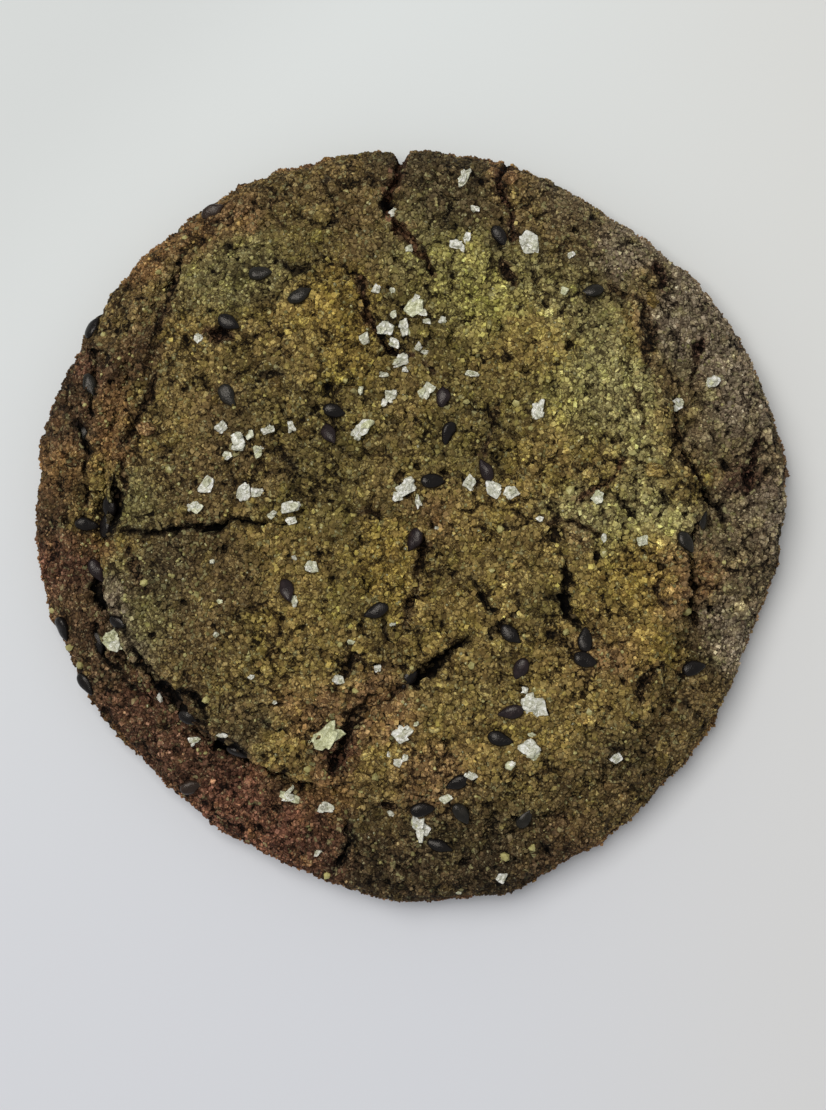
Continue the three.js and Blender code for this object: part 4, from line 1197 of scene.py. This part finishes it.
# ---------------------------------------------------------------- materials
class Nodes:
    """Adds and links the nodes of one tree."""

    def __init__(self, tree):
        self.tree = tree

    def add(self, kind, sockets=(), **settings):
        node = self.tree.nodes.new(kind)
        for name, value in settings.items():
            setattr(node, name, value)
        for name, value in dict(sockets).items():
            if isinstance(value, bpy.types.NodeSocket):
                self.tree.links.new(value, node.inputs[name])
            else:
                node.inputs[name].default_value = value
        return node

    def noise(self, place, size, detail=2.0, warp=0.0):
        """Soft noise whose lumps are about this many millimetres across."""
        return self.add("ShaderNodeTexNoise", {
            "Vector": place, "Scale": 1 / (size * MM), "Detail": detail, "Distortion": warp})

    def cells(self, place, size, feature="F1"):
        """Cells about this many millimetres across."""
        return self.add("ShaderNodeTexVoronoi", {
            "Vector": place, "Scale": 1 / (size * MM)}, feature=feature)

    def draws_of(self, cells):
        """Three draws from 0 to 1, the same all over each cell."""
        return self.add("ShaderNodeSeparateColor", {"Color": cells.outputs["Color"]}).outputs

    def remap(self, value, low, high, to_low=0.0, to_high=1.0):
        """Smooth rise or fall from to_low, where the value is low, to to_high."""
        return self.add("ShaderNodeMapRange", {
            "Value": value, "From Min": low, "From Max": high, "To Min": to_low, "To Max": to_high,
        }, interpolation_type="SMOOTHSTEP").outputs["Result"]

    def sum(self, operation, a, b):
        """The outcome of one sum, of any operation that the maths node knows."""
        return self.add("ShaderNodeMath", {0: a, 1: b}, operation=operation).outputs[0]

    def blend(self, factor, a, b, kind="MIX"):
        return self.add("ShaderNodeMix", {0: factor, 6: a, 7: b}, data_type="RGBA",
                        blend_type=kind).outputs[2]

    def shaken(self, place, size, reach):
        """The place moved about by noise, by up to about this many millimetres."""
        noise = self.noise(place, size).outputs["Color"]
        centred = self.add("ShaderNodeVectorMath", {0: noise, 1: (0.5, 0.5, 0.5)},
                           operation="SUBTRACT").outputs[0]
        push = self.add("ShaderNodeVectorMath", {0: centred}, operation="SCALE")
        push.inputs["Scale"].default_value = 2 * reach * MM
        return self.add("ShaderNodeVectorMath", {0: place, 1: push.outputs[0]},
                        operation="ADD").outputs[0]


CLUMP_MM, GRAIN_MM, SPECK_MM = 1.5, 0.5, 0.23    # sizes of the crumb, each made up of the next
CLEFT_BUMP = 0.25                       # depth in mm of clefts and fissures in the bump
PALE_CRUMB = (0.33, 0.30, 0.17, 1)
GLINTING = (0.38, 0.35, 0.16, 1)        # grains of sugar baked into the dough, paler and brightened as painted glints


def crumb_group():
    """Crumb of baked dough: its colour, gloss and height in mm, from a tint and the marks of
    hollows and clefts, which it darkens as painted shade. Clumps hold grains, grains hold specks;
    a few pale grains of sugar are brightened as painted glints."""
    tree = bpy.data.node_groups.new("baked_crumb", "ShaderNodeTree")
    face = tree.interface
    for name, kind in (("Place", "Vector"), ("Tint", "Color"), ("Crevice", "Float"),
                       ("Cleft", "Float"), ("Grain", "Float")):
        face.new_socket(name, in_out="INPUT", socket_type="NodeSocket" + kind)
    for name, kind in (("Colour", "Color"), ("Roughness", "Float"), ("Height", "Float")):
        face.new_socket(name, in_out="OUTPUT", socket_type="NodeSocket" + kind)
    n = Nodes(tree)
    given = n.add("NodeGroupInput").outputs
    place = n.shaken(n.shaken(given["Place"], CLUMP_MM, 0.35), GRAIN_MM, 0.12)
    clump, grain, speck = (n.cells(place, size) for size in (CLUMP_MM, GRAIN_MM, SPECK_MM))
    seam, gap = (n.cells(place, size, "DISTANCE_TO_EDGE").outputs["Distance"]
                 for size in (CLUMP_MM, GRAIN_MM))
    of_clump, of_grain, of_speck = (n.draws_of(kind) for kind in (clump, grain, speck))
    fine = n.noise(given["Place"], 0.22, 3.0).outputs["Fac"]
    broad = n.noise(given["Place"], 3.2, 2.0).outputs["Fac"]
    patchy = n.noise(given["Place"], 2.1, 3.0).outputs["Fac"]

    # Fissures, clefts and gaps between grains, for the painted shade and the bump below.
    fissure = n.sum("MULTIPLY", n.remap(seam, 0.02, 0.09, 1.0, 0.0), n.remap(patchy, 0.50, 0.60))
    fissure = n.sum("MULTIPLY", fissure, given["Grain"])
    rough_edge = n.noise(given["Place"], 0.5, 3.0).outputs["Fac"]
    ragged = n.sum("ADD", given["Cleft"], n.remap(rough_edge, 0.25, 0.75, -0.55, 0.55))
    cleft = n.remap(ragged, 0.0, 0.25)
    dark_gap = n.sum("MULTIPLY", n.remap(gap, 0.0, 0.17, 1.0, 0.0), given["Grain"])

    grained = n.sum("MULTIPLY", n.remap(of_grain[0], 0, 1, -0.42, 0.5), given["Grain"])
    shade = n.sum("ADD", grained, n.remap(of_clump[0], 0, 1, 0.86, 1.14))
    speckled = n.sum("MULTIPLY", n.remap(of_speck[0], 0, 1, -0.27, 0.3), given["Grain"])
    shade = n.sum("MULTIPLY", shade, n.sum("ADD", speckled, 1.0))
    for drifting, low, high, darkest, palest in (
            (fine, 0.25, 0.75, 0.82, 1.18), (broad, 0.3, 0.7, 0.88, 1.12)):
        shade = n.sum("MULTIPLY", shade, n.remap(drifting, low, high, darkest, palest))
    # Painted shade: darker in the gaps between grains, in fissures between clumps, in hollows and in
    # clefts.
    for mark, darkened in (
            (dark_gap, 0.42), (fissure, 0.4), (given["Crevice"], 0.45), (cleft, 0.25)):
        shade = n.sum("MULTIPLY", shade, n.remap(mark, 0.0, 1.0, 1.0, darkened))
    shade = n.sum("POWER", shade, 1.25)

    yellower = n.sum("MULTIPLY", n.remap(of_grain[1], 0.5, 0.9), 0.7)
    colour = n.blend(yellower, given["Tint"], (1.0, 1.03, 0.88, 1), "MULTIPLY")
    redder = n.remap(of_clump[1], 0.7, 0.9, 0, 0.6)
    colour = n.blend(redder, colour, (1.03, 0.98, 0.93, 1), "MULTIPLY")
    pale = n.sum("MULTIPLY", n.remap(of_speck[1], 0.72, 0.95), n.remap(fine, 0.35, 0.6))
    colour = n.blend(n.sum("MULTIPLY", pale, 0.38), colour, PALE_CRUMB)
    lit = n.add("ShaderNodeCombineColor", {
        0: shade, 1: n.sum("POWER", shade, 1.08), 2: n.sum("POWER", shade, 1.1)}).outputs[0]
    colour = n.blend(1.0, colour, lit, "MULTIPLY")
    # Painted glints: a few grains, sugar of a paler yellow, brightened and made glossier, but not in
    # hollows.
    glint = n.sum("MULTIPLY", n.remap(of_grain[2], 0.0, 0.09, 1.0, 0.0),
                  n.remap(given["Crevice"], 0.1, 0.5, 1.0, 0.0))
    colour = n.blend(n.sum("MULTIPLY", glint, 0.55), colour, GLINTING)

    rough = n.remap(fine, 0.2, 0.8, 0.72, 0.98)
    rough = n.sum("MULTIPLY", rough, n.remap(glint, 0, 1, 1.0, 0.5))
    rise = n.remap(clump.outputs["Distance"], 0.0, 0.8, 1.0, 0.0)
    height = n.sum("MULTIPLY", rise, 0.16)
    rises = (n.sum("MULTIPLY", of_grain[0], 0.05),
             n.remap(grain.outputs["Distance"], 0.0, 0.75, 0.09, 0.0),
             n.remap(speck.outputs["Distance"], 0.0, 0.8, 0.035, 0.0),
             n.sum("MULTIPLY", fine, 0.06))
    for rise in rises:
        height = n.sum("ADD", height, rise)
    for mark in (fissure, cleft):
        height = n.sum("SUBTRACT", height, n.sum("MULTIPLY", mark, CLEFT_BUMP))
    put = n.add("NodeGroupOutput").inputs
    tree.links.new(colour, put["Colour"])
    tree.links.new(rough, put["Roughness"])
    tree.links.new(height, put["Height"])
    return tree


def shaded(name):
    """A new material with its node builder and its Principled shader."""
    material = bpy.data.materials.new(name)
    material.use_nodes = True
    n = Nodes(material.node_tree)
    return material, n, material.node_tree.nodes["Principled BSDF"]


def object_place(n):
    return n.add("ShaderNodeTexCoord").outputs["Object"]


def attribute(n, name, output="Color"):
    return n.add("ShaderNodeAttribute", attribute_name=name).outputs[output]


def dough_material(name, group, grain, bump, is_body=False):
    """Baked crumb, on the body with the marks of its hollows and clefts."""
    material, n, shader = shaded(name)
    crumb = n.add("ShaderNodeGroup", node_tree=group)
    links = material.node_tree.links
    links.new(object_place(n), crumb.inputs["Place"])
    links.new(attribute(n, "tint"), crumb.inputs["Tint"])
    if is_body:
        links.new(attribute(n, "crevice", "Fac"), crumb.inputs["Crevice"])
        links.new(attribute(n, "cleft", "Fac"), crumb.inputs["Cleft"])
    else:
        crumb.inputs["Cleft"].default_value = -1.0
    crumb.inputs["Grain"].default_value = grain
    carve = n.add("ShaderNodeBump", {
        "Height": crumb.outputs["Height"], "Strength": bump, "Distance": MM})
    links.new(crumb.outputs["Colour"], shader.inputs["Base Color"])
    links.new(crumb.outputs["Roughness"], shader.inputs["Roughness"])
    links.new(carve.outputs["Normal"], shader.inputs["Normal"])
    shader.inputs["Specular IOR Level"].default_value = 0.12
    return material


def loose_material():
    """Crumbs too small to show grains of their own: a tint, a little uneven."""
    material, n, shader = shaded("loose_dough")
    place = object_place(n)
    fine = n.noise(place, 0.25).outputs["Fac"]
    broad = n.noise(place, 2.8).outputs["Fac"]
    shade = n.remap(fine, 0.25, 0.75, 0.68, 1.3)
    shade = n.sum("MULTIPLY", shade, n.remap(broad, 0.3, 0.7, 0.86, 1.14))
    lit = n.add("ShaderNodeCombineColor", {0: shade, 1: shade, 2: shade}).outputs[0]
    colour = n.blend(1.0, attribute(n, "tint"), lit, "MULTIPLY")
    material.node_tree.links.new(colour, shader.inputs["Base Color"])
    shader.inputs["Roughness"].default_value = 0.8
    shader.inputs["Specular IOR Level"].default_value = 0.14
    return material


def seed_material():
    """A black coat with faint brown mottling and a soft sheen."""
    material, n, shader = shaded("black_seed_coat")
    place = object_place(n)
    mottle = n.noise(place, 0.7, 3.0).outputs["Fac"]
    ridges = n.noise(place, 0.16, 2.0, 0.4).outputs["Fac"]
    coat = attribute(n, "tint")
    colour = n.blend(n.remap(mottle, 0.42, 0.72, 0, 0.7), coat, (1.9, 1.8, 1.7, 1), "MULTIPLY")
    links = material.node_tree.links
    links.new(colour, shader.inputs["Base Color"])
    links.new(n.remap(mottle, 0.3, 0.7, 0.1, 0.3), shader.inputs["Roughness"])
    wrinkle = n.add("ShaderNodeBump", {"Height": ridges, "Strength": 0.8, "Distance": 0.05 * MM})
    links.new(wrinkle.outputs["Normal"], shader.inputs["Normal"])
    shader.inputs["Specular IOR Level"].default_value = 0.27
    shader.inputs["Specular Tint"].default_value = (1.0, 0.93, 0.85, 1)
    return material


CHIP = 0.42                             # size in mm
CLOUDY_SALT, CLEAR_SALT = (0.62, 0.60, 0.50, 1), (0.96, 0.94, 0.89, 1)
SALT_LINE = (0.33, 0.32, 0.21, 1)       # thin lines where one chip of a flake meets the next
SALT_CLOUD = (0.36, 0.37, 0.24, 1)


def salt_material():
    """Cloudy salt made up of small chips, some clearer than others."""
    material, n, shader = shaded("cloudy_salt")
    place = object_place(n)
    cloud = n.noise(place, 0.5, 3.0, 0.8).outputs["Fac"]
    chips = n.shaken(place, 0.3, 0.1)
    split = n.draws_of(n.cells(chips, CHIP))
    line = n.cells(chips, CHIP, "DISTANCE_TO_EDGE").outputs["Distance"]
    colour = n.blend(n.remap(split[0], 0.1, 0.7), CLOUDY_SALT, CLEAR_SALT)
    colour = n.blend(n.remap(line, 0.02, 0.09, 0.4, 0.0), colour, SALT_LINE)
    colour = n.blend(n.remap(cloud, 0.42, 0.6, 0.45, 0.0), colour, SALT_CLOUD)
    colour = n.blend(1.0, colour, attribute(n, "tint"), "MULTIPLY")
    links = material.node_tree.links
    links.new(colour, shader.inputs["Base Color"])
    links.new(n.remap(cloud, 0.3, 0.7, 0.25, 0.55), shader.inputs["Roughness"])
    crust = n.add("ShaderNodeBump", {"Height": cloud, "Strength": 1.0, "Distance": 0.12 * MM})
    links.new(crust.outputs["Normal"], shader.inputs["Normal"])
    return material


def sugar_material():
    """Glossy grains that take the colour of the dough."""
    material, n, shader = shaded("sugar_grain")
    links = material.node_tree.links
    cloud = n.noise(object_place(n), 0.3, 2.0).outputs["Fac"]
    colour = n.blend(n.remap(cloud, 0.3, 0.7, 0.5, 0.0), attribute(n, "tint"),
                     (0.55, 0.55, 0.5, 1), "MULTIPLY")
    links.new(colour, shader.inputs["Base Color"])
    links.new(n.remap(cloud, 0.3, 0.7, 0.2, 0.45), shader.inputs["Roughness"])
    return material


# Painted light and shade on the table: brighter at the top, dimmer and cooler at the bottom, warmer
# in the shade right of the cookie, darker in the top left corner.
TABLE_LOW, TABLE_HIGH = (0.665, 0.675, 0.72, 1), (0.71, 0.735, 0.735, 1)
TABLE_RIGHT, TABLE_CORNER_SHADE = (0.70, 0.685, 0.66, 1), (0.65, 0.67, 0.67, 1)


def floor_material():
    """A pale matt table with painted light and shade: a little cooler and dimmer towards the bottom
    of the picture, warmer and dimmer to the right of the cookie and darker in the top left corner."""
    material, n, shader = shaded("pale_table")
    links = material.node_tree.links
    split = n.add("ShaderNodeSeparateXYZ", {"Vector": object_place(n)}).outputs
    colour = n.blend(n.remap(split["Y"], -0.06, 0.05), TABLE_LOW, TABLE_HIGH)
    colour = n.blend(n.remap(split["X"], 0.0, 0.06, 0, 0.6), colour, TABLE_RIGHT)
    corner = n.remap(n.sum("SUBTRACT", split["Y"], split["X"]), 0.065, 0.10)
    colour = n.blend(corner, colour, TABLE_CORNER_SHADE)
    links.new(colour, shader.inputs["Base Color"])
    shader.inputs["Roughness"].default_value = 0.6
    return material


def paint(piece, material):
    piece.data.materials.clear()
    piece.data.materials.append(material)


# ---------------------------------------------------------------- camera and light
SENSOR = 36                       # the camera's, in mm
WINDOW_PLACE = (-0.32, 0.28, 1.12)
WINDOW_SIZE = 0.75
WINDOW_POWER = 10.6
WINDOW_COLOUR = (1.0, 0.985, 0.95)
ROOM_COLOUR = (0.95, 0.98, 1.0, 1)
ROOM_STRENGTH = 0.36


def camera_above(shift):
    """A camera straight above the picture's middle, which sees what the picture shows."""
    x, y = np.array(place_at(*PICTURE_AXIS, GIRTH_HEIGHT)) - shift[:2]
    bpy.ops.object.camera_add(location=(x, y, EYE_HEIGHT), rotation=(0, 0, 0))
    camera = bpy.context.object
    camera.data.sensor_width = SENSOR
    camera.data.lens = SENSOR * (EYE_HEIGHT - GIRTH_HEIGHT) / (PICTURE[1] * PIXEL)
    camera.data.clip_start = 0.01
    bpy.context.scene.camera = camera


def window_light():
    """A square of soft light that faces the cookie from the upper left."""
    bpy.ops.object.light_add(type="AREA", location=WINDOW_PLACE)
    light = bpy.context.object
    light.name = "window"
    light.data.size = WINDOW_SIZE
    light.data.energy = WINDOW_POWER
    light.data.color = WINDOW_COLOUR
    aim = Vector((0, 0, 0.01)) - Vector(WINDOW_PLACE)
    light.rotation_euler = aim.to_track_quat("-Z", "Y").to_euler()


def room_light():
    """Faint even light from the room all round."""
    world = bpy.data.worlds.new("soft_room")
    world.use_nodes = True
    back = world.node_tree.nodes["Background"]
    back.inputs["Color"].default_value = ROOM_COLOUR
    back.inputs["Strength"].default_value = ROOM_STRENGTH
    bpy.context.scene.world = world


def pale_floor():
    deselect_all()
    bpy.ops.mesh.primitive_plane_add(size=3, location=(0, 0, 0))
    floor = bpy.context.object
    floor.name = "pale_floor"
    paint(floor, floor_material())


# ---------------------------------------------------------------- the whole
BRIGHT_GRAINS = 0.035             # share of grains that catch the light
PALING = np.array([1.0, 1.12, 1.16])   # bright grains are greener and paler, dark ones redder

# Casts of the grains, each with the share of grains that have it: none, green, brown, pale.
CASTS = [(1, 1, 1), (1.06, 1.1, 0.96), (1.04, 0.98, 0.95), (1.08, 1.09, 1.14)]
CAST_SHARES = [0.62, 0.22, 0.04, 0.12]

# Loose grains of dough and sugar: how many, their sizes in mm, how far they sink in, as a share
# of their size, and how far their tints stray.
SPECKS, SPECK_SIZES, SPECK_SINK, SPECK_STRAY = 24000, (0.28, 0.52), 0.4, 0.34
CRUMBS, FALLEN_CRUMBS, CRUMB_STRAY = 15900, 500, 0.31      # the fallen ones lie in the cracks
CLUMPS, CLUMP_SIZES, CLUMP_SINK, CLUMP_STRAY = 900, (0.9, 1.7), 0.62, 0.14
SUGAR_GRAINS, DULL_SUGAR, SUGAR_SIZES, SUGAR_SINK = 2000, 1500, (0.28, 0.55), 0.28
SUGAR_DULL, SUGAR_CLEAR = np.array([0.20, 0.175, 0.065]), np.array([0.44, 0.39, 0.15])

BARE_ROUND_SEED = 1.25            # mm round a seed's middle without crumbs
BARE_ROUND_FLAKE = 0.45           # the same round a flake, as a share of its length


def grain_tints(tints, corners, draws, stray):
    """Tints of loose grains: paler than the dough under them and each a little off it."""
    shade = 1.03 * np.exp(draws.normal(0, stray, (len(corners), 1)))
    cast = np.array(CASTS)[draws.choice(len(CASTS), len(corners), p=CAST_SHARES)]
    # Painted glints: a few grains brightened half again.
    shade *= np.where(draws.random((len(corners), 1)) < BRIGHT_GRAINS, 1.5, 1.0)
    return np.clip(tints[corners] * shade ** PALING * cast, 0, BRIGHTEST)


def crumb_cover(surface, crust):
    """Share of crumbs that lie at each corner of the body: none in cracks, on the underside or
    where seeds and flakes lie."""
    spots, crevice = crust.spots, crust.crevice
    in_cracks = (crevice > 0.6) | (crust.cleft > -0.3)
    barred = spots.under | (spots.loop > SIDE_LOOPS - 3) | in_cracks
    cover = np.where(barred, 0, 1 - 1.3 * np.clip(crevice, 0, 0.7))
    bare = [(px, py, BARE_ROUND_SEED) for px, py, *_ in SEEDS]
    bare += [(px, py, BARE_ROUND_FLAKE * long) for px, py, long, *_ in FLAKES + SMALL_FLAKES]
    for px, py, reach in bare:
        spot = surface.under_pixel(px, py)[0]
        away = np.hypot(surface.rows[:, 0] - spot[0], surface.rows[:, 1] - spot[1])
        cover[(away < reach * MM) & spots.top] = 0
    return cover


def also_at(surface, place, corner, pixels):
    """Adds what shows at some pixels to a list of places and of the corners nearest to them."""
    found = [surface.under_pixel(px, py) for px, py, *_ in pixels]
    place = np.concatenate([place, [spot for spot, *_ in found]])
    return place, np.concatenate([corner, [near for *_, near in found]])


def dough_specks(surface, cover, coarse, tints, stray, draws):
    """The finest loose grains of the dough, with eight faces each."""
    grain = template(lambda: bpy.ops.mesh.primitive_cone_add(
        vertices=4, radius1=SPECK_REACH, radius2=0, depth=SPECK_REACH,
        location=(0, 0, SPECK_REACH / 2), end_fill_type="TRIFAN"), eight_sided)
    place, corner = scattered(surface, SPECKS, cover, draws)
    size = draws.uniform(*SPECK_SIZES, len(corner)) * coarse[corner] * MM
    shades = grain_tints(tints, corner, draws, SPECK_STRAY * stray[corner])
    return loose_grains("dough_specks", grain, place, surface.soft[corner], size, SPECK_SINK,
                        shades, draws)


def dough_crumbs(surface, cover, clefts, coarse, tints, stray, draws):
    """Blocky crumbs over the whole crust, and a few that have fallen into the cracks."""
    grain = template(lambda: bpy.ops.mesh.primitive_cube_add(size=0.62))
    place, corner = scattered(surface, CRUMBS, cover, draws)
    fallen, nook = scattered(surface, FALLEN_CRUMBS, clefts, draws)
    place, corner = np.concatenate([place, fallen]), np.concatenate([corner, nook])
    size = (0.38 + 0.5 * draws.random(len(corner)) ** 1.3) * coarse[corner] * MM
    sink = 0.42 + 0.35 * np.clip(0.75 - coarse[corner], 0, 1)
    shades = grain_tints(tints, corner, draws, CRUMB_STRAY * stray[corner])
    return loose_grains("dough_crumbs", grain, place, surface.soft[corner], size, sink, shades,
                        draws)


def dough_clumps(surface, cover, tints, draws):
    """Knobs of dough that stand out of the crust, by chance and where the picture has them."""
    grain = template(lambda: bpy.ops.mesh.primitive_ico_sphere_add(subdivisions=2, radius=0.5),
                     lumpy)
    place, corner = scattered(surface, CLUMPS, cover, draws)
    size = draws.uniform(*CLUMP_SIZES, len(corner)) * MM
    shades = grain_tints(tints, corner, draws, CLUMP_STRAY)
    place, corner = also_at(surface, place, corner, LUMPS)
    size = np.concatenate([size, MM * np.array([wide for *_, wide, _ in LUMPS])])
    shades = np.concatenate([shades, [daylight(name, TINT_GAIN) for *_, name in LUMPS]])
    return loose_grains("dough_clumps", grain, place, surface.soft[corner], size, CLUMP_SINK,
                        shades, draws)


def sugar_grains(surface, cover, draws):
    """Grains of sugar, most of them dull, with the clearest where the picture has them."""
    grain = template(lambda: bpy.ops.mesh.primitive_ico_sphere_add(subdivisions=1, radius=0.5))
    place, corner = scattered(surface, SUGAR_GRAINS, cover, draws)
    size = draws.uniform(*SUGAR_SIZES, len(corner)) * MM
    place, corner = also_at(surface, place, corner, SUGAR)
    size = np.concatenate([size, MM * np.array([wide for *_, wide in SUGAR])])
    clear = (np.arange(len(size)) >= DULL_SUGAR)[:, None]
    tint = np.where(clear, SUGAR_CLEAR, SUGAR_DULL) * draws.uniform(0.8, 1.15, (len(size), 1))
    return loose_grains("sugar_grains", grain, place, surface.soft[corner], size, SUGAR_SINK,
                        tint, draws)


def dress():
    """Makes every piece and attaches each to the root."""
    crust, shift = bake_body()
    body, spots, calm = crust.body, crust.spots, crust.calm
    tints = dough_tints(crust)
    set_colour(body, "tint", BETWEEN_GRAINS * tints)
    set_value(body, "crevice", crust.crevice)
    set_value(body, "cleft", crust.cleft)
    bake_map(crust)
    deselect_all()
    body.select_set(True)
    bpy.context.view_layer.objects.active = body
    bpy.ops.object.shade_smooth()

    surface = Surface(body, crust.soft, shift)
    seeds = sesame_seeds(surface)
    flakes = salt_flakes(surface)

    cover = crumb_cover(surface, crust)
    inner = cover * spots.top * (spots.ring < TOP_RINGS - 10)
    cover = cover * (1 - 0.55 * calm)
    clefts = spots.top * (crust.cleft > -0.2)
    coarse = 0.62 + 0.18 * ramp(TOP_RINGS - 6 - spots.ring, 0, 12)
    coarse += 0.2 * ramp(FOOT_RING + 10 - spots.ring, 0, 16)
    coarse *= 1 - 0.25 * calm
    # Painted shade: loose grains are darker the deeper in a hollow they lie.
    dust_and_shade = tints * (1.05 - 0.62 * np.clip(crust.crevice, 0, 1))[:, None]
    stray = 1 + 0.5 * uneven_rim(spots)[:, None]
    draws = np.random.default_rng(20)
    specks = dough_specks(surface, cover, coarse, dust_and_shade, stray, draws)
    crumbs = dough_crumbs(surface, cover, clefts, coarse, dust_and_shade, stray, draws)
    clumps = dough_clumps(surface, inner * (1 - 0.8 * calm), tints, draws)
    sugar = sugar_grains(surface, inner * (spots.ring < CREST_RING + 2), draws)

    group = crumb_group()
    paint(body, dough_material("baked_dough", group, 1.0, 0.9, is_body=True))
    paint(clumps, dough_material("dough_lump", group, 0.8, 0.9))
    loose = loose_material()
    for piece in (specks, crumbs):
        paint(piece, loose)
    paint(seeds, seed_material())
    paint(flakes, salt_material())
    paint(sugar, sugar_material())

    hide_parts("cookie")
    for piece, slot in ((body, "crust"), (specks, "crust"), (crumbs, "crust"), (clumps, "crust"),
                        (seeds, "sesame"), (flakes, "salt"), (sugar, "sugar")):
        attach(piece, "root")
    return shift


pale_floor()
camera_above(dress())
window_light()
room_light()
bpy.context.scene.view_settings.view_transform = "Standard"
